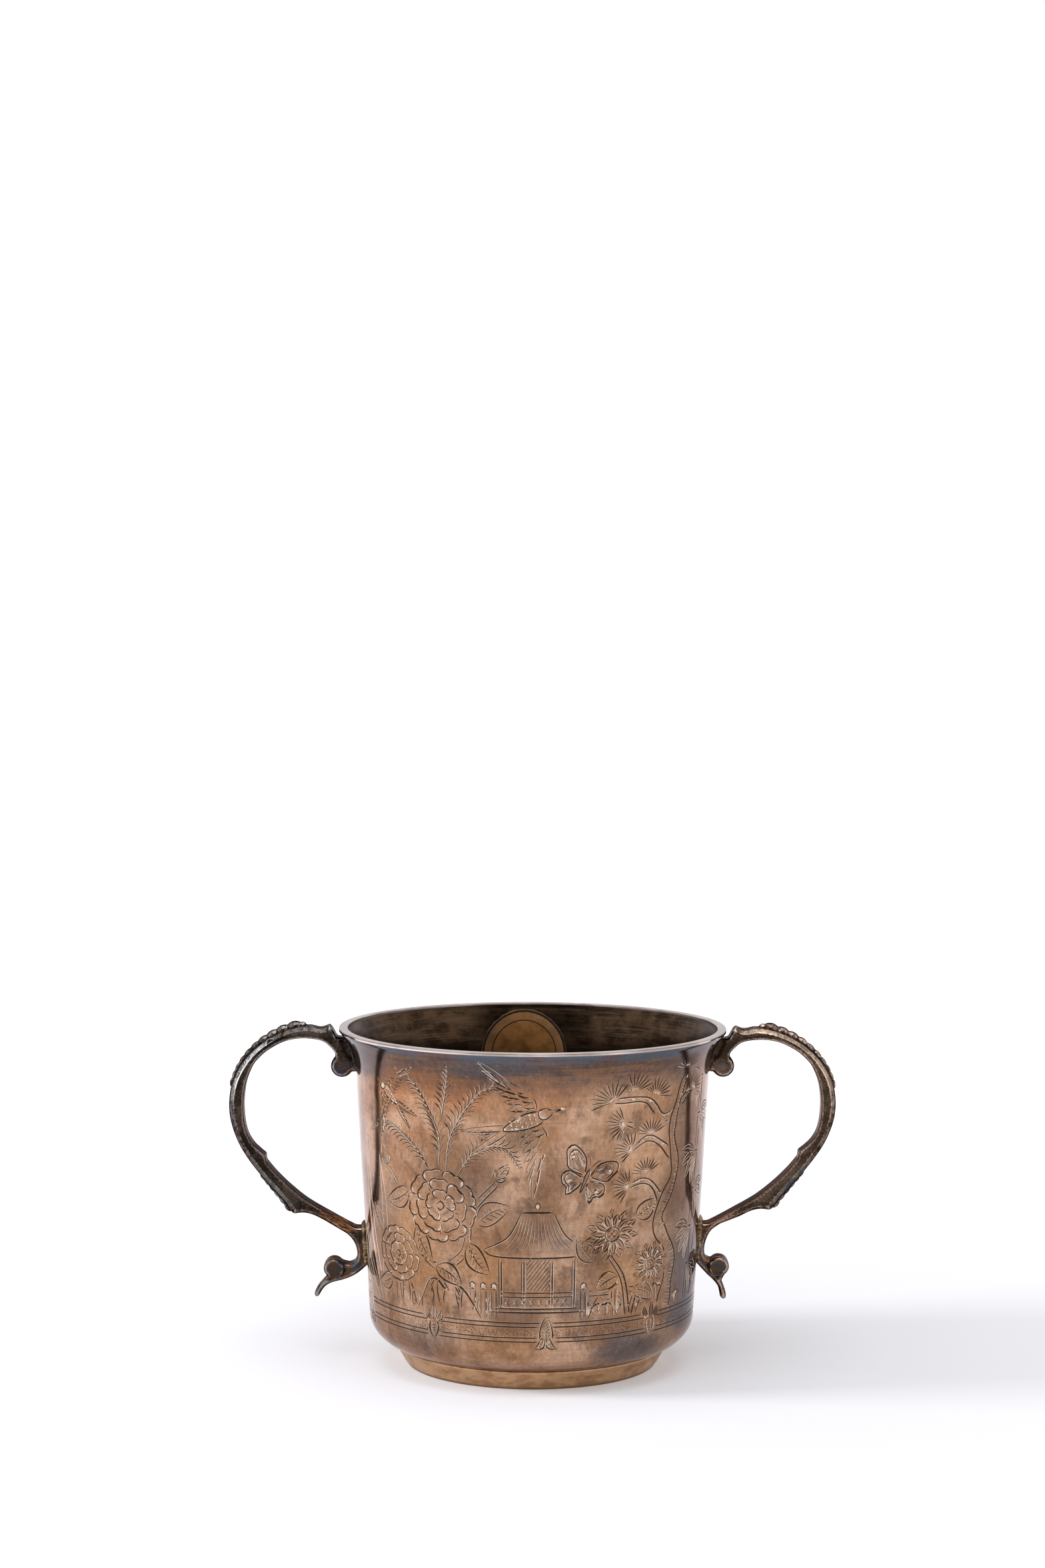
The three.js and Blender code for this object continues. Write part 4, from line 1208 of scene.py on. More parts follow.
def handle_outline(word, lift):
    """The closed outline, each point with its chamfer's width and depth and an inner mark.

    The mark is 1 on the side that faces the loop and 0 elsewhere. Where the outline would run into the
    wall it stops just under the wall's skin."""
    own = terminals[word]

    def bowed(shares, rise=lift):
        """The smooth curve through a stretch of the outline."""
        return smooth_curve(placed(shares, rise), OUTLINE_STEP)

    stretches = (
        (placed(root_top_shares, lift), 0.6, 0.5, 0),
        (bowed(back_shares), 1.4, 1.3, 0),
        (bowed(stem_shares), 0.9, 1.0, 0),
        (bowed(own["hook"], 0.0), 0.7, 0.8, 0),
        (arc(placed(own["knob"])[0], KNOB_RADIUS, KNOB_ARC), 0.6, 0.7, 0),
        (bowed(own["tail_outer"], 0.0), 0.7, 0.7, 0),
        (bowed(own["tail_inner"], 0.0), 0.7, 0.7, 0),
        (bowed(inner_stem_shares), 0.45, 0.5, 1),
        (bowed(inner_loop_shares), 0.45, 0.5, 1),
        (arc(placed(volute_centre_share, lift)[0], VOLUTE_RADIUS, VOLUTE_ARC), 0.7, 0.8, 0),
        (placed(volute_foot_share, lift), 0.8, 0.7, 0),
    )
    joined = np.vstack([np.column_stack((line, np.full((len(line), 3), (wide, deep, inner))))
                        for line, wide, deep, inner in stretches])
    joined = np.vstack((joined, joined[:1]))
    joined = joined[np.concatenate(([True], np.linalg.norm(np.diff(joined[:, :2], axis=0), axis=1) > 1e-6))]
    along = lengths_along(joined[:, :2])
    loop = at(np.linspace(0, along[-1], int(along[-1] / OUTLINE_STEP))[:-1], along, joined)
    loop[:, 0] = np.maximum(loop[:, 0], outer_radius(loop[:, 1]) - ROOT_DEPTH)
    return loop

# %% Relief of the side face
FACE_GRID = 0.32
FILED_HOLLOW, HOLLOW_WIDTH = 0.16, 1.2
WEB_SHARE, NECK_LINE, KNOB_STEP = 0.84, 2.2, 0.5
TAIL_START, TAIL_THINNING, TAIL_POWER = 1.2, 0.68, 0.8
NECK_REACH, NECK_FADE = 5.5, 2.5

def half_width(points, word, lift):
    """Half the casting's width: full on the strap, swelling on the knob and volute, thin at tail and web."""
    width = np.full(len(points), HANDLE_HALF_WIDTH)
    knob = placed(terminals[word]["knob"])[0]
    volute = placed(volute_centre_share, lift)[0]
    tail_top = knob[1] - TAIL_START
    below = np.clip((tail_top - points[:, 1]) / (tail_top - TAIL_TIP), 0, 1)
    width *= 1 - TAIL_THINNING * below ** TAIL_POWER
    stand_off = points[:, 0] - outer_radius(points[:, 1])
    upper = np.clip((points[:, 1] - volute[1]) / 2, 0, 1) * np.clip((NECK_LINE - stand_off) / 1.2, 0, 1)
    from_volute = np.linalg.norm(points - volute, axis=1)
    width *= 1 - (1 - WEB_SHARE) * upper * np.clip((from_volute - VOLUTE_RADIUS * 0.8) / 1.0, 0, 1)
    from_knob = np.linalg.norm(points - knob, axis=1)
    beside_knob = np.clip((from_knob - KNOB_RADIUS + 0.1) / 0.3, 0, 1)
    neck = np.clip((NECK_REACH - from_knob) / NECK_FADE, 0, 1)
    return width - KNOB_STEP * beside_knob * neck * np.clip(3 - below * 8, 0, 1)

def in_bands(points):
    """The points in groups of up to about 4000, to save memory."""
    return np.array_split(points, len(points) // 4000 + 1)

def edge_distance(points, loop):
    """Distance of each point to the nearest edge of the loop, with the values kept at that edge's start.

    With offset o from the edge's start and edge e it is |o - e clip(o.e / e.e)|."""
    start = loop[:, :2]
    step = np.roll(start, -1, axis=0) - start
    distance, kept = [], []
    for band in in_bands(points):
        offset = band[:, None, :] - start
        share = np.clip((offset * step).sum(axis=2) / (step ** 2).sum(axis=1), 0, 1)
        gap = np.linalg.norm(offset - share[:, :, None] * step, axis=2)
        nearest = gap.argmin(axis=1)
        distance.append(gap[np.arange(len(band)), nearest])
        kept.append(loop[nearest, 2:])
    return np.concatenate(distance), np.vstack(kept)

def side_heights(points, loop, word, lift):
    """Height of the side face: the half width, less the chamfer near the edge, less the filed hollow."""
    distance, kept = edge_distance(points, loop)
    wide, deep = kept[:, 0], kept[:, 1]
    chamfer = deep * np.clip(1 - distance / wide, 0, 1)
    hollow = FILED_HOLLOW * np.clip((distance - wide) / HOLLOW_WIDTH, 0, 1)
    width = half_width(points, word, lift)
    return width - np.minimum(chamfer, width * 0.6) - hollow

def clear_of(points, outline, gap):
    """Whether each point's sideways and upward distances to all the outline's points add up to more."""
    nearest = [np.abs(band[:, None, :] - outline).sum(axis=2).min(axis=1) for band in in_bands(points)]
    return np.concatenate(nearest) > gap

def casting(loop, word, side, lift):
    """The two side faces over the outline, joined round its edge, as points and triangles."""
    low, high = loop[:, :2].min(axis=0), loop[:, :2].max(axis=0)
    grid = np.stack(np.meshgrid(*(np.arange(a, b, FACE_GRID) for a, b in zip(low, high))), axis=-1)
    grid = grid.reshape(-1, 2)
    grid = grid[inside(grid, loop[:, :2])]
    flat = np.vstack((loop[:, :2], grid[clear_of(grid, loop[:, :2], FACE_GRID * 0.8)]))
    ring = np.arange(len(loop))
    flat, triangles = triangulated(flat, np.column_stack((ring, np.roll(ring, -1))))
    triangles = triangles[inside(flat[triangles].mean(axis=1), loop[:, :2])]
    heights = side_heights(flat, loop, word, lift)
    front = np.column_stack((side * flat[:, 0], -heights, flat[:, 1]))
    back = np.column_stack((side * flat[:, 0], heights, flat[:, 1]))
    count = len(flat)
    rim = ring_quads(ring, ring + count)
    return np.vstack((front, back)), (np.vstack((triangles, triangles[:, ::-1] + count)), rim)

# %% [markdown]
# ## Beads, sheath and welding
# The beads are low overlapping scales along the middle of the back, larger towards the lip, with a
# second short row that grows towards the lower leaf tip. A thin raised edge, the end of the leaf
# that wraps the strap, curls over on each side. All of it is pushed into the strap and one voxel
# remesh welds the lot into a single skin, which also gives the soft edges of a worn casting.

# %% Beads and leaf edges
UPPER_BEAD, UPPER_PITCH, UPPER_START = 1.55, 3.15, 9.6
LOWER_BEAD, LOWER_PITCH, LOWER_END = 1.1, 2.3, 1.5
BEAD_SHRINK, BEAD_SPREAD, BEAD_OVERLAP = 0.95, 1.3, 0.69
FIRST_BEAD = (2.3, 0.95, 1.0)
BALL_RINGS, BALL_SPOKES, TUBE_SPOKES = 14, 20, 8
VOXEL = 0.2

def ball(centre, radii, tilt=0.0):
    """A closed ellipsoid, its X and Z radii turned by a tilt: rings of a turned half circle and two caps."""
    turn = np.linspace(0.001, math.pi - 0.001, BALL_RINGS)
    profile = np.column_stack((np.sin(turn), -np.cos(turn)))
    x, y, z = (turned(profile, np.linspace(0, 2 * math.pi, BALL_SPOKES, endpoint=False)) * radii).T
    across, up = x * math.cos(tilt) - z * math.sin(tilt), x * math.sin(tilt) + z * math.cos(tilt)
    points = np.column_stack((across, y, up))
    ring = np.arange(BALL_SPOKES)
    caps = np.array((ring[::-1], ring + (BALL_RINGS - 1) * BALL_SPOKES))
    return points + centre, (grid_faces(BALL_RINGS, BALL_SPOKES), caps)

def tube(path, radii):
    """A closed tube about a path: a ring of points square to its direction at each step."""
    direction = unit(np.gradient(path, axis=0))
    first = unit(np.cross(direction, (0, 1, 0)))
    second = np.cross(direction, first)
    turn = np.linspace(0, 2 * math.pi, TUBE_SPOKES, endpoint=False)[None, :, None]
    rings = first[:, None, :] * np.cos(turn) + second[:, None, :] * np.sin(turn)
    points = (path[:, None, :] + rings * np.asarray(radii)[:, None, None]).reshape(-1, 3)
    ring = np.arange(TUBE_SPOKES)
    caps = np.array((ring[::-1], ring + (len(path) - 1) * TUBE_SPOKES))
    return points, (grid_faces(len(path), TUBE_SPOKES), caps)

def bead_row(side, lift):
    """Beads at shrinking steps along the back from the lip end, and from the lower leaf tip upwards.

    Each is longer than the step to the next, so that they overlap like scales."""
    back = smooth_curve(placed(back_shares, lift), 0.1)
    along = lengths_along(back)
    upper, lower = BEAD_SHRINK ** np.arange(10), BEAD_SHRINK ** np.arange(6)
    places = np.concatenate((
        UPPER_START + UPPER_PITCH * (1 - upper) / (1 - BEAD_SHRINK),
        along[-1] - LOWER_END - LOWER_PITCH * (1 - lower) / (1 - BEAD_SHRINK),
        (UPPER_START - FIRST_BEAD[0],),
    ))
    heights = np.concatenate((UPPER_BEAD * upper ** 1.6, LOWER_BEAD * lower ** 2, FIRST_BEAD[1:2]))
    pitches = np.concatenate((UPPER_PITCH * upper, LOWER_PITCH * lower))
    lengths = np.concatenate((pitches * BEAD_OVERLAP, FIRST_BEAD[2:]))
    slope = np.gradient(back, axis=0)
    tilts = np.interp(places, along, np.unwrap(np.arctan2(slope[:, 1], slope[:, 0])))
    centres = at(places, along, back)
    return [
        ball((side * x, 0, z), (length, min(height * BEAD_SPREAD, 2.1), height), side * tilt)
        for (x, z), length, height, tilt in zip(centres, lengths, heights, tilts)
    ]

def leaf_edges(side, lift):
    """The thin arris down the root, a node at its head and, on the left, the curl that ends the sheath."""
    root = smooth_curve(placed(((0.083, 0.972), (0.07, 0.955), (0.1, 0.93), (0.118, 0.905)), lift), 0.4)
    curl = smooth_curve(placed(((0.55, 0.948), (0.605, 0.943), (0.642, 0.926), (0.624, 0.914)), lift), 0.3)
    made = []
    for face in (-1, 1):
        for curve, size, sink in ((root, 0.26, 0.12), (curl, 0.24, 0.12))[:2 if side < 0 else 1]:
            depth = np.full(len(curve), face * (HANDLE_HALF_WIDTH - sink - 0.12))
            radii = size * np.sin(np.linspace(0.6, math.pi - 0.3, len(curve))) ** 0.5
            made.append(tube(np.column_stack((side * curve[:, 0], depth, curve[:, 1])), radii))
        x, z = placed((0.083, 0.972), lift)[0]
        made.append(ball((side * x, face * (HANDLE_HALF_WIDTH - 0.5), z), (0.55, 0.4, 0.5)))
    return made

def weld(name, shells, voxel):
    """Joins closed shells into one object and remeshes it to a single skin of voxel size."""
    points, faces, first = [], [], 0
    for shell_points, shell_faces in shells:
        points.append(shell_points)
        faces.extend(rows + first for rows in shell_faces)
        first += len(shell_points)
    piece = new_piece(name, np.vstack(points), faces)
    remesh = piece.modifiers.new("weld", "REMESH")
    remesh.mode, remesh.voxel_size, remesh.use_smooth_shade = "VOXEL", voxel * MM, True
    evaluated = piece.evaluated_get(bpy.context.evaluated_depsgraph_get())
    skin = bpy.data.meshes.new_from_object(evaluated)
    piece.modifiers.clear()
    piece.data = skin
    skin.name = name
    print(name, "welded to", len(skin.vertices), "points")
    return piece

# %% Smooth the skin and measure its worn edges
def read(items, name, kind=np.float32, width=3):
    """A row of numbers for each point or edge of a mesh."""
    flat = np.empty(width * len(items), kind)
    items.foreach_get(name, flat)
    return flat.reshape(-1, width)

def points_of(piece):
    """The mesh's points in millimetres, as one array."""
    return read(piece.data.vertices, "co").astype(float) / MM

def edges_of(piece):
    """The pairs of point numbers that edges join."""
    return read(piece.data.edges, "vertices", np.int32, 2)

def neighbour_mean(values, edges):
    """The mean of each point's neighbours along edges."""
    ends, others = np.concatenate((edges, edges[:, ::-1])).T
    count = np.bincount(ends, minlength=len(values)).astype(float)
    sums = [np.bincount(ends, axis[others], len(values)) for axis in values.reshape(len(values), -1).T]
    return (np.column_stack(sums) / np.maximum(count, 1)[:, None]).reshape(values.shape)

def set_points(piece, points):
    """Puts points in millimetres back into the mesh."""
    piece.data.vertices.foreach_set("co", (points * MM).astype(np.float32).ravel())
    piece.data.update()

def soften(piece, rounds):
    """Moves each point halfway to its neighbours' mean, a few times, without shrinking thin parts much."""
    points, edges = points_of(piece), edges_of(piece)
    for number in range(rounds):
        points += 0.5 * (neighbour_mean(points, edges) - points)
        points -= 0.51 * (neighbour_mean(points, edges) - points)
    for number in range(2):
        points += 0.5 * (neighbour_mean(points, edges) - points)
    set_points(piece, points)

def store_wear(piece, loop, spread):
    """Keeps on the points what the finish needs to know.

    wear: how far a point stands out of its neighbourhood, 1 on worn ridges, -1 in dark hollows.
    sideways: the size of the normal's Y. rim: distance inside the outline, below 0 on the beads.
    arris: distance past the ridge between chamfer and flat side. inner: 1 on the side facing the loop."""
    points, edges = points_of(piece), edges_of(piece)
    normals = read(piece.data.vertices, "normal")
    smooth = points
    for number in range(spread):
        smooth = neighbour_mean(smooth, edges)
    height = ((points - smooth) * normals).sum(axis=1)
    for number in range(2):
        height = neighbour_mean(height, edges)
    flat_points = np.abs(points[:, ::2])
    distance, kept = edge_distance(flat_points, loop)
    rim = np.where(inside(flat_points, loop[:, :2]), distance, -distance)
    store(piece, "wear", np.clip(height / (3.0 * height.std()), -1, 1))
    store(piece, "sideways", neighbour_mean(np.abs(normals[:, 1]), edges))
    store(piece, "rim", rim)
    store(piece, "arris", rim - kept[:, 0])
    store(piece, "inner", kept[:, 2])

for word, side, lift in CASTINGS:
    loop = handle_outline(word, lift)
    shells = [casting(loop, word, side, lift)] + bead_row(side, lift) + leaf_edges(side, lift)
    handle = weld("cast_handle_" + word, shells, VOXEL)
    soften(handle, 1)
    set_points(handle, np.clip(points_of(handle), *(np.array(corner) / MM for corner in CAD_BOX)))
    store_wear(handle, loop, 6)
    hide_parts("handle_" + word)
    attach(handle, "root")

# %% [markdown]
# ## Solder at the handles
# The castings were tied to the wall with iron wire and brazed. The solder ran along the contact and
# froze in small pale-gold lumps, most of them under the lower hook. Overlapping balls along the
# contact edges, welded by a fine remesh, give the same uneven bead.

# %% Run the solder
SOLDER_VOXEL = 0.16
JOINTS = {
    "upper": ((0.84, 0.935), 2.3, (0.5, 0.75), 0.0),
    "lower": ((0.14, 0.262), 2.7, (0.8, 1.1), 0.15),
}

def solder_lumps(word, side, joint, lift):
    """Flattened balls up both contact edges and across both ends, their sizes and places jittered."""
    shares, half_width, sizes, stand_off = JOINTS[joint]
    rng = np.random.default_rng(17 + side)
    low, high = placed(((0, shares[0]), (0, shares[1])), lift)[:, 1]
    rise = np.linspace(low, high, 9)
    across = np.linspace(-half_width, half_width, 5)[1:-1]
    depth = np.concatenate((np.full(9, -half_width), np.full(9, half_width), across, across))
    height = np.concatenate((rise, rise, np.full(3, low), np.full(3, high)))
    height += rng.uniform(-0.35, 0.35, len(height))
    depth += rng.uniform(-0.2, 0.2, len(depth))
    radius = np.sqrt(outer_radius(height) ** 2 - depth ** 2) + stand_off
    lumps = rng.uniform(*sizes, len(height))
    return [ball((side * r, y, z), (size * 0.9, size * 0.8, size * 1.2))
            for r, y, z, size in zip(radius, depth, height, lumps)]

for word, side, lift in CASTINGS:
    for joint in JOINTS:
        node = "solder_" + joint + "_" + word
        lumps = weld("run_" + node, solder_lumps(word, side, joint, lift), SOLDER_VOXEL)
        soften(lumps, 4)
        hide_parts(node)
        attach(lumps, "root")

# %% [markdown]
# ## The paper label
# A round label of brown paper was pasted to the wall and follows its curve. It is a disc of rings
# bent onto the inside of the wall, with a front and a back a fifth of a millimetre apart. The paper
# has cockled a little where the paste pulled it.

# %% Bend the label onto the wall
label_low, label_high = (np.array(corner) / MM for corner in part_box("paper_label"))
LABEL_X, LABEL_Z = (label_low[0] + label_high[0]) / 2, (label_low[2] + label_high[2]) / 2
LABEL_RADIUS, LABEL_PAPER, LABEL_GAP = (label_high[2] - label_low[2]) / 2, 0.16, 0.04
LABEL_RINGS, LABEL_SPOKES = 20, 96

def label_sheet(gap):
    """Rings of points on the inner wall, held off it by a gap that cockles slowly over the disc."""
    share = np.linspace(1, 0, LABEL_RINGS, endpoint=False)[:, None]
    turn = np.linspace(0, 2 * math.pi, LABEL_SPOKES, endpoint=False)[None, :]
    ragged = 1 - 0.006 * (np.sin(5 * turn) ** 2 + np.sin(13 * turn + 1) ** 2) * share ** 8
    x = LABEL_X + (LABEL_RADIUS * share * ragged * np.cos(turn)).ravel()
    z = LABEL_Z + (LABEL_RADIUS * share * ragged * np.sin(turn)).ravel()
    cockle = 0.05 * (1 + np.sin(0.9 * x + 0.5 * z) * np.sin(0.6 * z - 0.4 * x))
    radius = inner_radius(z) - gap - cockle
    points = np.column_stack((x, np.sqrt(radius ** 2 - x ** 2), z))
    middle = inner_radius(np.array((LABEL_Z,)))[0] - gap - 0.05
    return np.vstack((points, ((LABEL_X, math.sqrt(middle ** 2 - LABEL_X ** 2), LABEL_Z),)))

front, back = label_sheet(LABEL_GAP + LABEL_PAPER), label_sheet(LABEL_GAP)
rings = LABEL_RINGS * LABEL_SPOKES
spokes = np.arange(LABEL_SPOKES)
front_quads = grid_faces(LABEL_RINGS, LABEL_SPOKES)
last_ring = rings - LABEL_SPOKES + spokes
label_faces = (
    np.vstack((front_quads, front_quads[:, ::-1] + len(front), ring_quads(spokes + len(front), spokes))),
    np.vstack((fan(last_ring, rings, True), fan(last_ring + len(front), rings + len(front), False))),
)
label = new_piece("pasted_label", np.vstack((front, back)), label_faces)
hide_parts("paper_label")
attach(label, "root")

# %% [markdown]
# ## Writing a finish as a formula
# A finish is worked out from the place on the piece, so it needs many small sums. A socket wrapped in
# a class with the usual operators lets a mask be written like any other formula, and one method adds
# every other kind of node.

# %% Wrap sockets and finishes
class Socket:
    """An output of a node. Sums with it add Math nodes, and 1 - mask works as well as mask - 1."""

    def __init__(self, finish, output):
        self.finish, self.output = finish, output

    def maths(self, operation, first, second):
        """One Math node for an operation on two values, either of which may be a number."""
        return self.finish.node("ShaderNodeMath", {"operation": operation}, {0: first, 1: second})

    def __add__(self, other):
        return self.maths("ADD", self, other)

    def __radd__(self, other):
        return self.maths("ADD", other, self)

    def __sub__(self, other):
        return self.maths("SUBTRACT", self, other)

    def __rsub__(self, other):
        return self.maths("SUBTRACT", other, self)

    def __mul__(self, other):
        return self.maths("MULTIPLY", self, other)

    def __rmul__(self, other):
        return self.maths("MULTIPLY", other, self)

class Finish:
    """The nodes of a material, or of the world when that is given as their owner."""

    def __init__(self, name, owner=None):
        self.owner = owner or bpy.data.materials.new(name)
        self.owner.use_nodes = True
        self.nodes, self.links = self.owner.node_tree.nodes, self.owner.node_tree.links
        self.nodes.clear()

    @cached_property
    def place(self):
        """The place on the piece, in millimetres."""
        return self.scaled(self.node("ShaderNodeTexCoord", output="Object"), (1 / MM, 1 / MM, 1 / MM))

    def node(self, kind, settings=None, values=None, output=0):
        """Adds a node: its settings first, then a number or a link at each named or numbered input."""
        made = self.nodes.new(kind)
        for name, value in (settings or {}).items():
            setattr(made, name, value)
        for name, value in (values or {}).items():
            if isinstance(value, Socket):
                self.links.new(value.output, made.inputs[name])
            else:
                made.inputs[name].default_value = value
        return Socket(self, made.outputs[output]) if len(made.outputs) else None

    def scaled(self, vector, sizes):
        """A vector multiplied by a size along each axis."""
        return self.node("ShaderNodeVectorMath", {"operation": "MULTIPLY"}, {0: vector, 1: sizes})

    def turned(self, axis, angle):
        """The place turned about an axis."""
        values = {"Vector": self.place, "Axis": axis, "Angle": angle}
        return self.node("ShaderNodeVectorRotate", {"rotation_type": "AXIS_ANGLE"}, values)

    def axes(self):
        """The three parts of the place, in millimetres."""
        split = self.node("ShaderNodeSeparateXYZ", None, {0: self.place})
        return [Socket(self, split.output.node.outputs[number]) for number in range(3)]

    def noise(self, sizes, detail=3.0, roughness=0.5, place=None, shift=0.0):
        """Noise between 0 and 1 whose features measure about the given sizes in millimetres."""
        vector = self.scaled(place or self.place, tuple(1 / size for size in sizes))
        if shift:
            added = {0: vector, 1: (shift, shift, shift)}
            vector = self.node("ShaderNodeVectorMath", {"operation": "ADD"}, added)
        values = {"Vector": vector, "Scale": 1.0, "Detail": detail, "Roughness": roughness}
        return self.node("ShaderNodeTexNoise", None, values)

    def between(self, value, low, high):
        """0 below low, 1 above high and a soft step between, or the other way round."""
        values = {"Value": value, "From Min": low, "From Max": high}
        return self.node("ShaderNodeMapRange", {"interpolation_type": "SMOOTHSTEP"}, values)

    def mix(self, mask, first, second):
        """The first colour where the mask is 0 and the second where it is 1."""
        first = (*first, 1.0) if isinstance(first, tuple) else first
        second = (*second, 1.0) if isinstance(second, tuple) else second
        return self.node("ShaderNodeMix", {"data_type": "RGBA"}, {0: mask, 6: first, 7: second}, 2)

    def mottled_tone(self, noise, low, high, first, second):
        """The first colour where a noise is below low, the second above high."""
        return self.mix(self.between(noise, low, high), first, second)

    def attribute(self, name):
        """A number that was stored on the mesh's points."""
        return self.node("ShaderNodeAttribute", {"attribute_name": name}, None, "Fac")

    def bumped(self, height, depth, strength=1.0):
        """A normal tilted by a height between 0 and 1 that stands for a depth in millimetres."""
        values = {"Height": height, "Distance": depth * MM, "Strength": strength}
        return self.node("ShaderNodeBump", None, values)

    def surface(self, **values):
        """The Principled surface, its inputs named with underscores for spaces."""
        named = {name.replace("_", " "): value for name, value in values.items()}
        shader = self.node("ShaderNodeBsdfPrincipled", None, named)
        self.node("ShaderNodeOutputMaterial", None, {"Surface": shader})

    def give(self, *pieces):
        """Puts the finish on pieces."""
        for piece in pieces:
            piece.data.materials.clear()
            piece.data.materials.append(self.owner)

# %% [markdown]
# ## Tarnished silver
# Silver left in the air goes through thin brown, orange and blue sulphide films before it blackens.
# The wall is mostly a warm brown, with an orange cloud under the lip on one side, a violet and blue
# zone where the flare keeps cloths away, grey smudges and fine polishing scratches. Dark streaks
# near both sides of the front are painted reflections of dark gaps round the cup. Dirt and black
# sulphide sit on one flank of each engraved line, and the other is bare. The inside is painted
# darker and mottled, for its tarnish and for the shade inside the cup. Soft clouds, each a distance
# with a broken edge, place the colours that the real cup has in certain spots and the painted
# streaks, and noise gives the rest.

# %% Soft clouds of colour
CLOUD_DEPTH = 30

def cloud(finish, centre, sizes, edge):
    """A soft blot: 1 at its centre, 0 past its sizes, its edge broken by noise."""
    shares = tuple(1 / size for size in sizes)
    values = {0: finish.scaled(finish.place, shares), 1: tuple(c * s for c, s in zip(centre, shares))}
    distance = finish.node("ShaderNodeVectorMath", {"operation": "DISTANCE"}, values, "Value")
    return finish.between(distance + (edge - 0.5) * 1.1, 1.15, 0.35)

def clouded(finish, tone, colour, edge, rows):
    """The tone with a cloud of colour for each row: its place, its two half sizes and its strength."""
    for x, y, z, wide, high, strength in rows:
        mask = cloud(finish, (x, y, z), (wide, CLOUD_DEPTH, high), edge)
        tone = finish.mix(mask * strength, tone, colour)
    return tone

# %% Finish of the wall outside
# The smudge colour serves both tarnish smudges and painted dark streaks of reflection.
WARM, PALE, SMUDGE_AND_DARK_REFLECTION = (0.38, 0.205, 0.112), (0.59, 0.375, 0.25), (0.16, 0.095, 0.064)
ORANGE, VIOLET, BLUE = (0.3, 0.13, 0.06), (0.1, 0.072, 0.07), (0.1, 0.105, 0.12)
GOLDEN, FLARE_BROWN, LIP_BLUE = (0.52, 0.27, 0.12), (0.2, 0.105, 0.065), (0.075, 0.115, 0.155)
BARE_SILVER, GROOVE_DIRT = (0.78, 0.63, 0.51), (0.02, 0.012, 0.009)

silver = Finish("tarnished_engraved_silver")
z = silver.axes()[2]
broad = silver.noise((15, 15, 13), 4, 0.55)
patchy = silver.noise((5, 5, 6), 5, 0.65, shift=40)
fine = silver.noise((1.2, 1.2, 1.8), 5, 0.7, shift=11)
layers = silver.noise((18, 18, 1.6), 4, 0.6, shift=53)
tone = silver.mottled_tone(broad, 0.38, 0.66, WARM, PALE)
tone = silver.mix(silver.between(patchy, 0.5, 0.66) * 0.64, tone, SMUDGE_AND_DARK_REFLECTION)
# The rows at x of about 40 and -38 paint dark streaks as reflections of dark gaps round the cup; the other
# rows are tarnish smudges.
tone = clouded(silver, tone, SMUDGE_AND_DARK_REFLECTION, patchy, (
    (-14, -44, 55, 8, 9, 0.6), (-4, -44, 22, 8, 7, 0.6), (6, -44, 57, 9, 6, 0.4),
    (41, -30, 72, 7, 14, 0.6), (37, -30, 50, 6, 10, 0.5), (-3, -44, 68, 5, 5, 0.6),
    (16, -44, 36, 5, 8, 0.5), (-38, -30, 44, 5, 9, 0.4), (20, -44, 17, 9, 6, 0.5),
    (1, -44, 46, 10, 9, 0.45), (-20, -42, 60, 11, 10, 0.35), (40, -25, 50, 6, 25, 0.45),
))
tone = clouded(silver, tone, ORANGE, patchy, (
    (-20, -42, 79, 14, 7, 0.85), (-36, -30, 80, 10, 9, 0.7),
    (4, -45, 79, 12, 5, 0.5), (-30, -38, 66, 6, 8, 0.4),
))
tone = clouded(silver, tone, GOLDEN, broad, (
    (-30, -38, 40, 9, 14, 0.5), (-14, -44, 34, 8, 6, 0.5), (30, -36, 60, 8, 9, 0.4),
    (24, -40, 30, 8, 6, 0.45), (-4, -46, 13, 16, 4, 0.4),
))
zone = silver.between(z + (broad - 0.5) * 16 + (patchy - 0.5) * 8, 76.5, 85.5)
tone = silver.mix(zone * 0.88, tone, silver.mottled_tone(layers, 0.44, 0.6, VIOLET, FLARE_BROWN))
tone = clouded(silver, tone, BLUE, patchy, (
    (11, -44, 25, 6, 5, 0.5), (26, -38, 11, 12, 6, 0.75), (41, -24, 28, 7, 14, 0.7),
    (-28, -38, 13, 10, 5, 0.4), (-10, -46, 86, 16, 3, 0.6), (-44, -20, 84, 9, 6, 0.5),
    (42, -22, 17, 10, 7, 0.8), (8, -44, 40, 5, 3, 0.3),
))
tone = silver.mottled_tone(fine, 0.35, 0.65, silver.scaled(tone, (0.8, 0.78, 0.76)), tone)
print("wall tarnish ready")

# %% Scratches, the lip and the grooves
brushed = silver.noise((0.3, 0.3, 9), 3, 0.7, silver.turned((0, 1, 0), 0.45))
polished = silver.noise((0.28, 0.28, 12), 3, 0.7, silver.turned((0, 1, 0), -0.2))
turned_marks = silver.noise((16, 16, 0.3), 3, 0.7, shift=7)
scratches = (brushed + polished + turned_marks) * 0.333
tone = silver.mottled_tone(scratches, 0.42, 0.58, silver.scaled(tone, (0.8, 0.79, 0.78)), tone)
lit_lines = silver.noise((0.22, 0.22, 7), 2, 0.6, silver.turned((0, 1, 0), 0.95))
tone = silver.mix(silver.between(lit_lines, 0.66, 0.74) * 0.35, tone, (0.72, 0.58, 0.48))
within, cut, flank = (silver.attribute(word) for word in ("within", "cut", "flank"))
blue_band = silver.between(z + (patchy - 0.5) * 5, 86.8, 88) * silver.between(broad + layers, 0.85, 1.05)
tone = silver.mix(blue_band * 0.7, tone, LIP_BLUE)
rim_tone = silver.mottled_tone(broad, 0.4, 0.6, (0.54, 0.47, 0.45), (0.34, 0.27, 0.23))
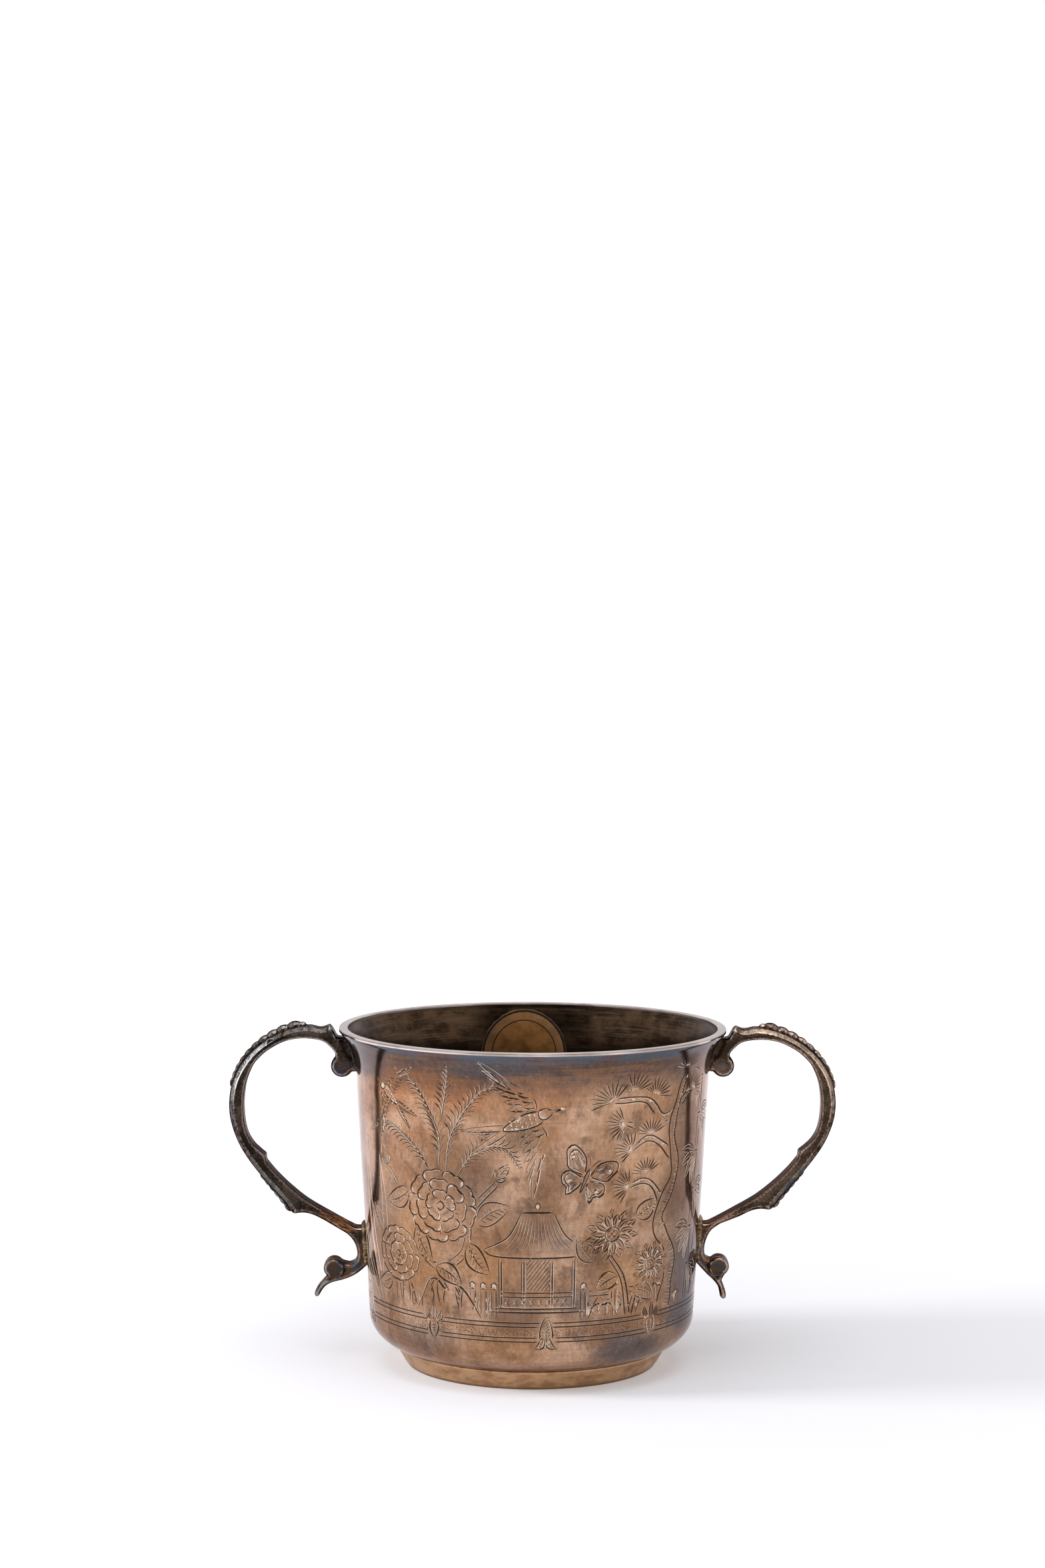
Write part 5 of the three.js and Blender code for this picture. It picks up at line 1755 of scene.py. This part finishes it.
tone = silver.mix(silver.between(z, 89.1, 89.4) * (1 - within) * 0.8, tone, rim_tone)
dark_patch = silver.noise((7, 7, 4), 4, 0.65, shift=90)
# The inside tones are painted dark: tarnish, and the shade inside the cup.
inner_tone = silver.mottled_tone(dark_patch, 0.4, 0.62, (0.074, 0.043, 0.024), (0.025, 0.014, 0.008))
inner_tone = silver.mix(silver.between(turned_marks, 0.5, 0.66) * 0.4, inner_tone, (0.15, 0.105, 0.078))
inner_tone = silver.mix(silver.between(fine, 0.6, 0.75) * 0.5, inner_tone, (0.2, 0.145, 0.11))
lip_tone = silver.mottled_tone(broad, 0.4, 0.6, (0.4, 0.34, 0.31), (0.6, 0.54, 0.52))
inner_tone = silver.mottled_tone(z, 89.6, 89.95, inner_tone, lip_tone)
tone = silver.mix(within, tone, inner_tone)
bare_flank = silver.between(cut, 0.01, 0.05) * silver.between(flank, 0.2, 0.45)
tone = silver.mix(bare_flank * 0.62, tone, BARE_SILVER)
groove = silver.between(cut, 0.04, 0.16) * (1 - bare_flank * 0.95)
tone = silver.mix(groove * 0.93, tone, GROOVE_DIRT)
silver.surface(
    Base_Color=tone,
    Metallic=1 - groove * 0.5,
    Roughness=0.07 + patchy * 0.13 + within * 0.18 + groove * 0.3 - zone * 0.04,
    Specular_Tint=(0.86, 0.83, 0.84, 1),
    Normal=silver.bumped(scratches + patchy * 0.4, 0.02, 0.26),
)
silver.give(body)
print("body finished")

# %% Finish of the foot and of the solder
foot_silver = Finish("tarnished_foot_silver")
z = foot_silver.axes()[2]
mottled = foot_silver.noise((5, 5, 2.5), 4, 0.6)
tone = foot_silver.mottled_tone(mottled, 0.4, 0.65, (0.58, 0.36, 0.2), (0.38, 0.21, 0.11))
worn = foot_silver.between(z + mottled, 1.6, 0.7)
tone = foot_silver.mix(worn * 0.75, tone, (0.16, 0.08, 0.045))
drawn = foot_silver.noise((1.2, 1.2, 0.08), 2, 0.5)
foot_silver.surface(
    Base_Color=tone,
    Metallic=1.0,
    Roughness=0.34 + mottled * 0.1,
    Normal=foot_silver.bumped(drawn, 0.015, 0.3),
)
foot_silver.give(foot)

solder = Finish("hard_solder")
z = solder.axes()[2]
grains = solder.noise((0.7, 0.7, 0.7), 4, 0.6)
streaky = solder.noise((1.6, 1.6, 2.6), 3, 0.6, shift=5)
tone = solder.mottled_tone(grains, 0.4, 0.62, (0.36, 0.25, 0.14), (0.1, 0.062, 0.036))
tone = solder.mix(solder.between(streaky, 0.5, 0.62) * 0.8, tone, (0.05, 0.034, 0.024))
# Above 55 mm the solder of the upper joints is painted dark, as the shade under the handles' necks and the
# lip.
tone = solder.mottled_tone(z, 55, 60, tone, (0.05, 0.042, 0.036))
solder.surface(Base_Color=tone, Metallic=1.0, Roughness=0.4, Normal=solder.bumped(grains, 0.08, 0.6))
solder.give(foot_seam, *(piece for piece in bpy.data.objects if piece.name.startswith("run_solder")))
print("foot and solder finished")

# %% [markdown]
# ## Dark castings
# The handles were filed, not polished, so their flat sides kept a near-black skin with slanting file
# marks. Hands wore the ridges, the beads and the chamfers back to bright metal, and highlights are
# painted over the ridges and the upper chamfers, a sheen over the lower leaf and a gleam along the
# stem; the beads are painted light on their flanks and dark on their tops, as light and shade. The
# wear number that was stored on the points says where a ridge stands out, and hollows stay black.

# %% Finish of the handles
# The black of the bead tops is painted shade, and each casting's bead colour is that of bead flanks painted
# light.
BLACK_SEAM, HOLLOW_BLACK, BEAD_TOP_SHADE_BLACK = (0.018, 0.014, 0.012), (0.012, 0.01, 0.009), (0.024, 0.019, 0.018)
# Each casting's bright edge colour is for painted highlights as well as worn metal.
CAST_TONES = {
    "left": {
        "side": -1, "rubbed_and_highlit_zone": ((-75, 0, 80), (9, 30, 12)),
        "flat_tone": (0.013, 0.009, 0.0065), "edge_tone": (0.1, 0.078, 0.064),
        "worn_edge_and_highlight": (0.8, 0.8, 0.84), "inner_tone": (0.05, 0.034, 0.03),
        "bead_lit_tone": (0.3, 0.27, 0.26), "stem_glow": (0.55, 0.23, 0.07),
    },
    "right": {
        "side": 1, "rubbed_and_highlit_zone": ((70, 0, 82), (16, 30, 18)),
        "flat_tone": (0.036, 0.023, 0.015), "edge_tone": (0.15, 0.106, 0.077),
        "worn_edge_and_highlight": (0.56, 0.41, 0.31), "inner_tone": (0.13, 0.088, 0.072),
        "bead_lit_tone": (0.56, 0.4, 0.33), "stem_glow": (0.34, 0.16, 0.086),
    },
}

def times(colour, share):
    """A colour with each part multiplied by a share, up to 1."""
    return tuple(min(1, part * share) for part in colour)

def edges_and_beads(cast, noises, tones, rubbed_and_highlit):
    """A mottled chamfer with worn spots and painted highlights, a painted sheen on the lower leaf, bead
    flanks painted light, bead tops painted dark as shade and a dark seam below them.
    """
    between, mix = cast.between, cast.mix
    mottled, broad, specks, tarnish, rim, sideways, back = noises
    edge_tone = tones["edge_tone"]
    tone = cast.mottled_tone(tarnish, 0.44, 0.56, times(edge_tone, 1.4), times(edge_tone, 0.25))
    tone = mix(between(broad, 0.5, 0.66) * 0.4, tone, (0.05, 0.06, 0.08))
    # Spots on the upper chamfers are painted with bright highlights as well as worn metal.
    scuffs_and_highlights = between(specks * 0.4 + tarnish * 0.6, 0.44, 0.52) * rubbed_and_highlit * between(rim, 0.25, 0.6)
    tone = mix(scuffs_and_highlights * 0.85, tone, tones["worn_edge_and_highlight"])
    # The lower leaf gets blue and gold tarnish with a painted sheen over it.
    leaf_zone = cloud(cast, (tones["side"] * 71, 0, 47), (10, 30, 8), mottled)
    leaf_tarnish_and_sheen = cast.mottled_tone(specks + mottled, 0.85, 1.2, (0.06, 0.085, 0.11), (0.25, 0.23, 0.16))
    tone = mix(leaf_zone * between(rim, 0.2, 0.5) * 0.8, tone, leaf_tarnish_and_sheen)
    grime = specks * 0.5 + mottled * 0.5
    # Bead flanks are painted light and bead tops painted dark, as light and shade by the way they face.
    bead_flank_lit = between(rim, -0.12, -0.3) * between(sideways, 0.25, 0.6)
    tone = mix(
        bead_flank_lit, tone, cast.mottled_tone(grime, 0.42, 0.54, tones["bead_lit_tone"], times(edge_tone, 0.35)),
    )
    bead_top_shade = between(rim, -0.2, -0.4) * between(sideways, 0.5, 0.2)
    tone = mix(bead_top_shade * 0.85, tone, BEAD_TOP_SHADE_BLACK)
    seam = between(rim, -0.22, -0.08) * between(rim, 0.42, 0.24) * between(sideways, 0.2, 0.4)
    return mix(seam * back * 0.85, tone, BLACK_SEAM)

def handle_finish(name, tones):
    """Chamfers and beads, then the inner strip, filed flats, a stem with orange tarnish and a painted gleam,
    tinted ends, painted highlights on the ridges, and worn ridges.
    """
    cast = Finish(name)
    between, mix = cast.between, cast.mix
    side, flat_tone = tones["side"], tones["flat_tone"]
    wear, sideways, rim, arris, inner = (
        cast.attribute(word) for word in ("wear", "sideways", "rim", "arris", "inner")
    )
    z = cast.axes()[2]
    mottled = cast.noise((1.8, 1.8, 1.8), 4, 0.6)
    broad = cast.noise((9, 9, 9), 2, 0.5)
    specks = cast.noise((0.4, 0.4, 0.4), 3, 0.7, shift=23)
    marks = cast.noise((0.13, 1.5, 1.3), 3, 0.65, cast.turned((0, 1, 0), side * 0.9))
    tarnish = cast.noise((1.1, 1.1, 2.2), 4, 0.65, shift=61)
    back = 1 - inner
    rubbed_and_highlit = cloud(cast, *tones["rubbed_and_highlit_zone"], mottled)
    tone = edges_and_beads(cast, (mottled, broad, specks, tarnish, rim, sideways, back), tones, rubbed_and_highlit)
    strip = between(z, 52, 44) * between(tarnish, 0.4, 0.6)
    strip_tone = mix(strip, tones["inner_tone"], (0.02, 0.012, 0.009))
    tone = mix(inner * between(sideways, 0.75, 0.45), tone, strip_tone)
    lit_file = tuple(shade + part * 2.4 for shade, part in zip((0.046, 0.033, 0.025), flat_tone))
    flat = between(arris, -0.08, 0.05) * between(sideways, 0.8, 0.93)
    filed = cast.mottled_tone(marks + broad * 0.7 + mottled * 0.3, 1.0, 1.16, flat_tone, lit_file)
    tone = mix(flat, tone, filed)
    # The stem gets orange tarnish with a painted gleam along its middle.
    stem_tarnish_and_gleam = cloud(cast, (side * 52, 0, 37), (9, 30, 4.5), mottled) * between(arris, 0.9, 0.3)
    drawn = cast.noise((3.0, 1.5, 0.35), 3, 0.6, cast.turned((0, 1, 0), side * 0.42))
    stem_tarnish_and_gleam_tone = cast.mottled_tone(drawn, 0.46, 0.6, (0.05, 0.025, 0.014), tones["stem_glow"])
    tone = mix(stem_tarnish_and_gleam * 0.9, tone, stem_tarnish_and_gleam_tone)
    knob_height = between(z, 33, 31) * between(z, 20, 23)
    curled = knob_height + cloud(cast, (side * 50.5, 0, 77), (5, 30, 5), mottled)
    tinted = cast.mottled_tone(mottled, 0.44, 0.56, (0.26, 0.14, 0.075), (0.1, 0.13, 0.18))
    tone = mix(curled * (0.2 + between(arris, 0.5, -0.1) * 0.5), tone, tinted)
    # Bright lines along the back's ridge are painted highlights over worn metal.
    ridge = between(arris, -0.34, -0.2) * between(arris, 0.08, -0.04) * back
    broken = between(specks + mottled * 0.6 + rubbed_and_highlit * 0.35, 0.78, 0.98)
    tone = mix(ridge * broken * 0.75, tone, times(tones["edge_tone"], 2.6))
    tone = mix(ridge * broken * rubbed_and_highlit, tone, times(tones["worn_edge_and_highlight"], 1.6))
    # The inner ridge gets a painted highlight over worn metal.
    inner_ridge = between(arris, -0.3, -0.2) * between(arris, -0.04, -0.12) * inner
    tone = mix(inner_ridge * between(broad, 0.38, 0.5) * 0.8, tone, (0.72, 0.64, 0.6))
    worn = between(wear + (specks - 0.5) * 1.2, 0.5, 1.0)
    tone = mix(worn * 0.6, tone, tuple(0.1 + part for part in tones["bead_lit_tone"]))
    tone = mix(between(wear, -0.2, -0.6) * 0.9, tone, HOLLOW_BLACK)
    cast.surface(
        Base_Color=tone,
        Metallic=0.97,
        Roughness=0.12 + mottled * 0.14 + flat * 0.2,
        Specular_Tint=(0.24, 0.2, 0.19, 1),
        Normal=cast.bumped(marks + specks * 0.5 + mottled * 0.7, 0.07, 0.6),
    )
    return cast

for word, tones in CAST_TONES.items():
    handle_finish("dark_cast_silver_" + word, tones).give(bpy.data.objects["cast_handle_" + word])
print("handles finished")

# %% [markdown]
# ## Old paper
# Matt brown paper that has darkened unevenly, with a black printed ring near the edge and a thin
# second ring inside it.

# %% Finish of the label
paper = Finish("aged_label_paper")
x, _, z = paper.axes()
across, up = x - LABEL_X, z - LABEL_Z
offset = paper.node("ShaderNodeCombineXYZ", None, {"X": across, "Y": up})
radius = paper.node("ShaderNodeVectorMath", {"operation": "LENGTH"}, {0: offset}, "Value")
stain = paper.noise((3.5, 3.5, 3.5), 4, 0.6)
fibres = paper.noise((0.35, 0.35, 0.35), 3, 0.6)
tone = paper.mottled_tone(stain, 0.35, 0.68, (0.37, 0.162, 0.045), (0.19, 0.08, 0.021))
tone = paper.mix(paper.between(radius, 8.6, 9.4) * 0.35, tone, (0.26, 0.15, 0.08))
outer_line = paper.between(radius, 11.05, 11.2) * paper.between(radius, 11.85, 11.75)
inner_line = paper.between(radius, 8.75, 8.85) * paper.between(radius, 9.15, 9.05)
tone = paper.mix(outer_line + inner_line, tone, (0.009, 0.008, 0.008))
tone = paper.mix(paper.between(fibres, 0.4, 0.7) * 0.3, tone, (0.12, 0.07, 0.04))
paper.surface(
    Base_Color=tone,
    Roughness=0.85,
    Specular_IOR_Level=0.2,
    Normal=paper.bumped(fibres + stain, 0.05, 0.4),
)
paper.give(label)
print("label finished")

# %% [markdown]
# ## The studio
# The cup stands on a white sheet under a broad soft light, with a second light low on the left whose
# soft shadow runs off to the right. Metal shows what stands around it, so the sheet in front gives the
# wall its brightness, and a dark cloth behind the camera keeps the castings' flat sides dark.

# %% Lay the paper sheet and hang the cloth
FLOOR_REACH = 6000
NEAR_TOP_UP, FAR_TOP_UP, FADE_IN = 0.31, 0.9, (60, 760)
FLOOR_PAPER, CLOTH = (0.79, 0.79, 0.855, 1), (0.03, 0.03, 0.032, 1)
CLOTH_HALF_WIDTH, CLOTH_FOOT, CLOTH_HEAD = 1400, (-1700, 420), (-1500, 2000)

def seen_directly(finish):
    """1 for camera, mirror and glass rays, which see the plain background, and 0 for the rest."""
    path = finish.node("ShaderNodeLightPath").output.node
    rays = ("Is Camera Ray", "Is Glossy Ray", "Is Transmission Ray")
    return sum((Socket(finish, path.outputs[name]) for name in rays), 0.0)

def sheet(name, corners):
    """A flat sheet from four corners in millimetres."""
    piece = new_piece(name, np.array(corners, float), (np.array(((0, 1, 2, 3),)),))
    return piece

floor = sheet("white_sheet", FLOOR_REACH * np.array(((-1, -1, 0), (1, -1, 0), (1, 1, 0), (-1, 1, 0))))
white = Finish("white_sheet")
diffuse = white.node("ShaderNodeBsdfDiffuse", None, {"Color": FLOOR_PAPER}, "BSDF")
away = white.node("ShaderNodeVectorMath", {"operation": "LENGTH"}, {0: white.place}, "Value")
top_up = white.between(away, *FADE_IN) * FAR_TOP_UP + NEAR_TOP_UP
glow = {"Color": (1, 1, 1, 1), "Strength": seen_directly(white) * top_up}
emission = white.node("ShaderNodeEmission", None, glow, "Emission")
both = white.node("ShaderNodeAddShader", None, {0: diffuse, 1: emission})
white.node("ShaderNodeOutputMaterial", None, {"Surface": both})
white.give(floor)

cloth_corners = (
    (-CLOTH_HALF_WIDTH, *CLOTH_FOOT), (-CLOTH_HALF_WIDTH, *CLOTH_HEAD),
    (CLOTH_HALF_WIDTH, *CLOTH_HEAD), (CLOTH_HALF_WIDTH, *CLOTH_FOOT),
)
cloth = sheet("dark_cloth", cloth_corners)
cloth.visible_camera = False
dull = Finish("dark_cloth")
dull.surface(Base_Color=CLOTH, Roughness=0.95)
dull.give(cloth)

# %% Set the lamps and the room's light
CUP_MIDDLE = (0, 0, 45.0)
ROOM_LIGHT = 0.35

def lamp(name, place, size, power):
    """A soft square light aimed at the middle of the cup."""
    data = bpy.data.lights.new(name, "AREA")
    data.shape, data.size, data.energy = "SQUARE", size * MM, power
    light = bpy.data.objects.new(name, data)
    bpy.context.scene.collection.objects.link(light)
    aim = Vector(np.array(CUP_MIDDLE) - place).to_track_quat("-Z", "Y")
    light.rotation_mode = "QUATERNION"
    light.matrix_world = Matrix.Translation(np.array(place) * MM) @ aim.to_matrix().to_4x4()
    return light

lamp("overhead", (0, -250, 1000), 900, 4.5)
low_left = lamp("low_left", (-1000, -120, 430), 300, 8.0)
low_left.visible_glossy = False

bpy.context.scene.world = bpy.data.worlds.new("white_room")
room = Finish("white_room", bpy.context.scene.world)
strength = room.node("ShaderNodeMapRange", None, {"Value": seen_directly(room), "To Min": ROOM_LIGHT})
glow = {"Color": (1, 1, 1, 1), "Strength": strength}
background = room.node("ShaderNodeBackground", None, glow)
room.node("ShaderNodeOutputWorld", None, {"Surface": background})
print("studio set")
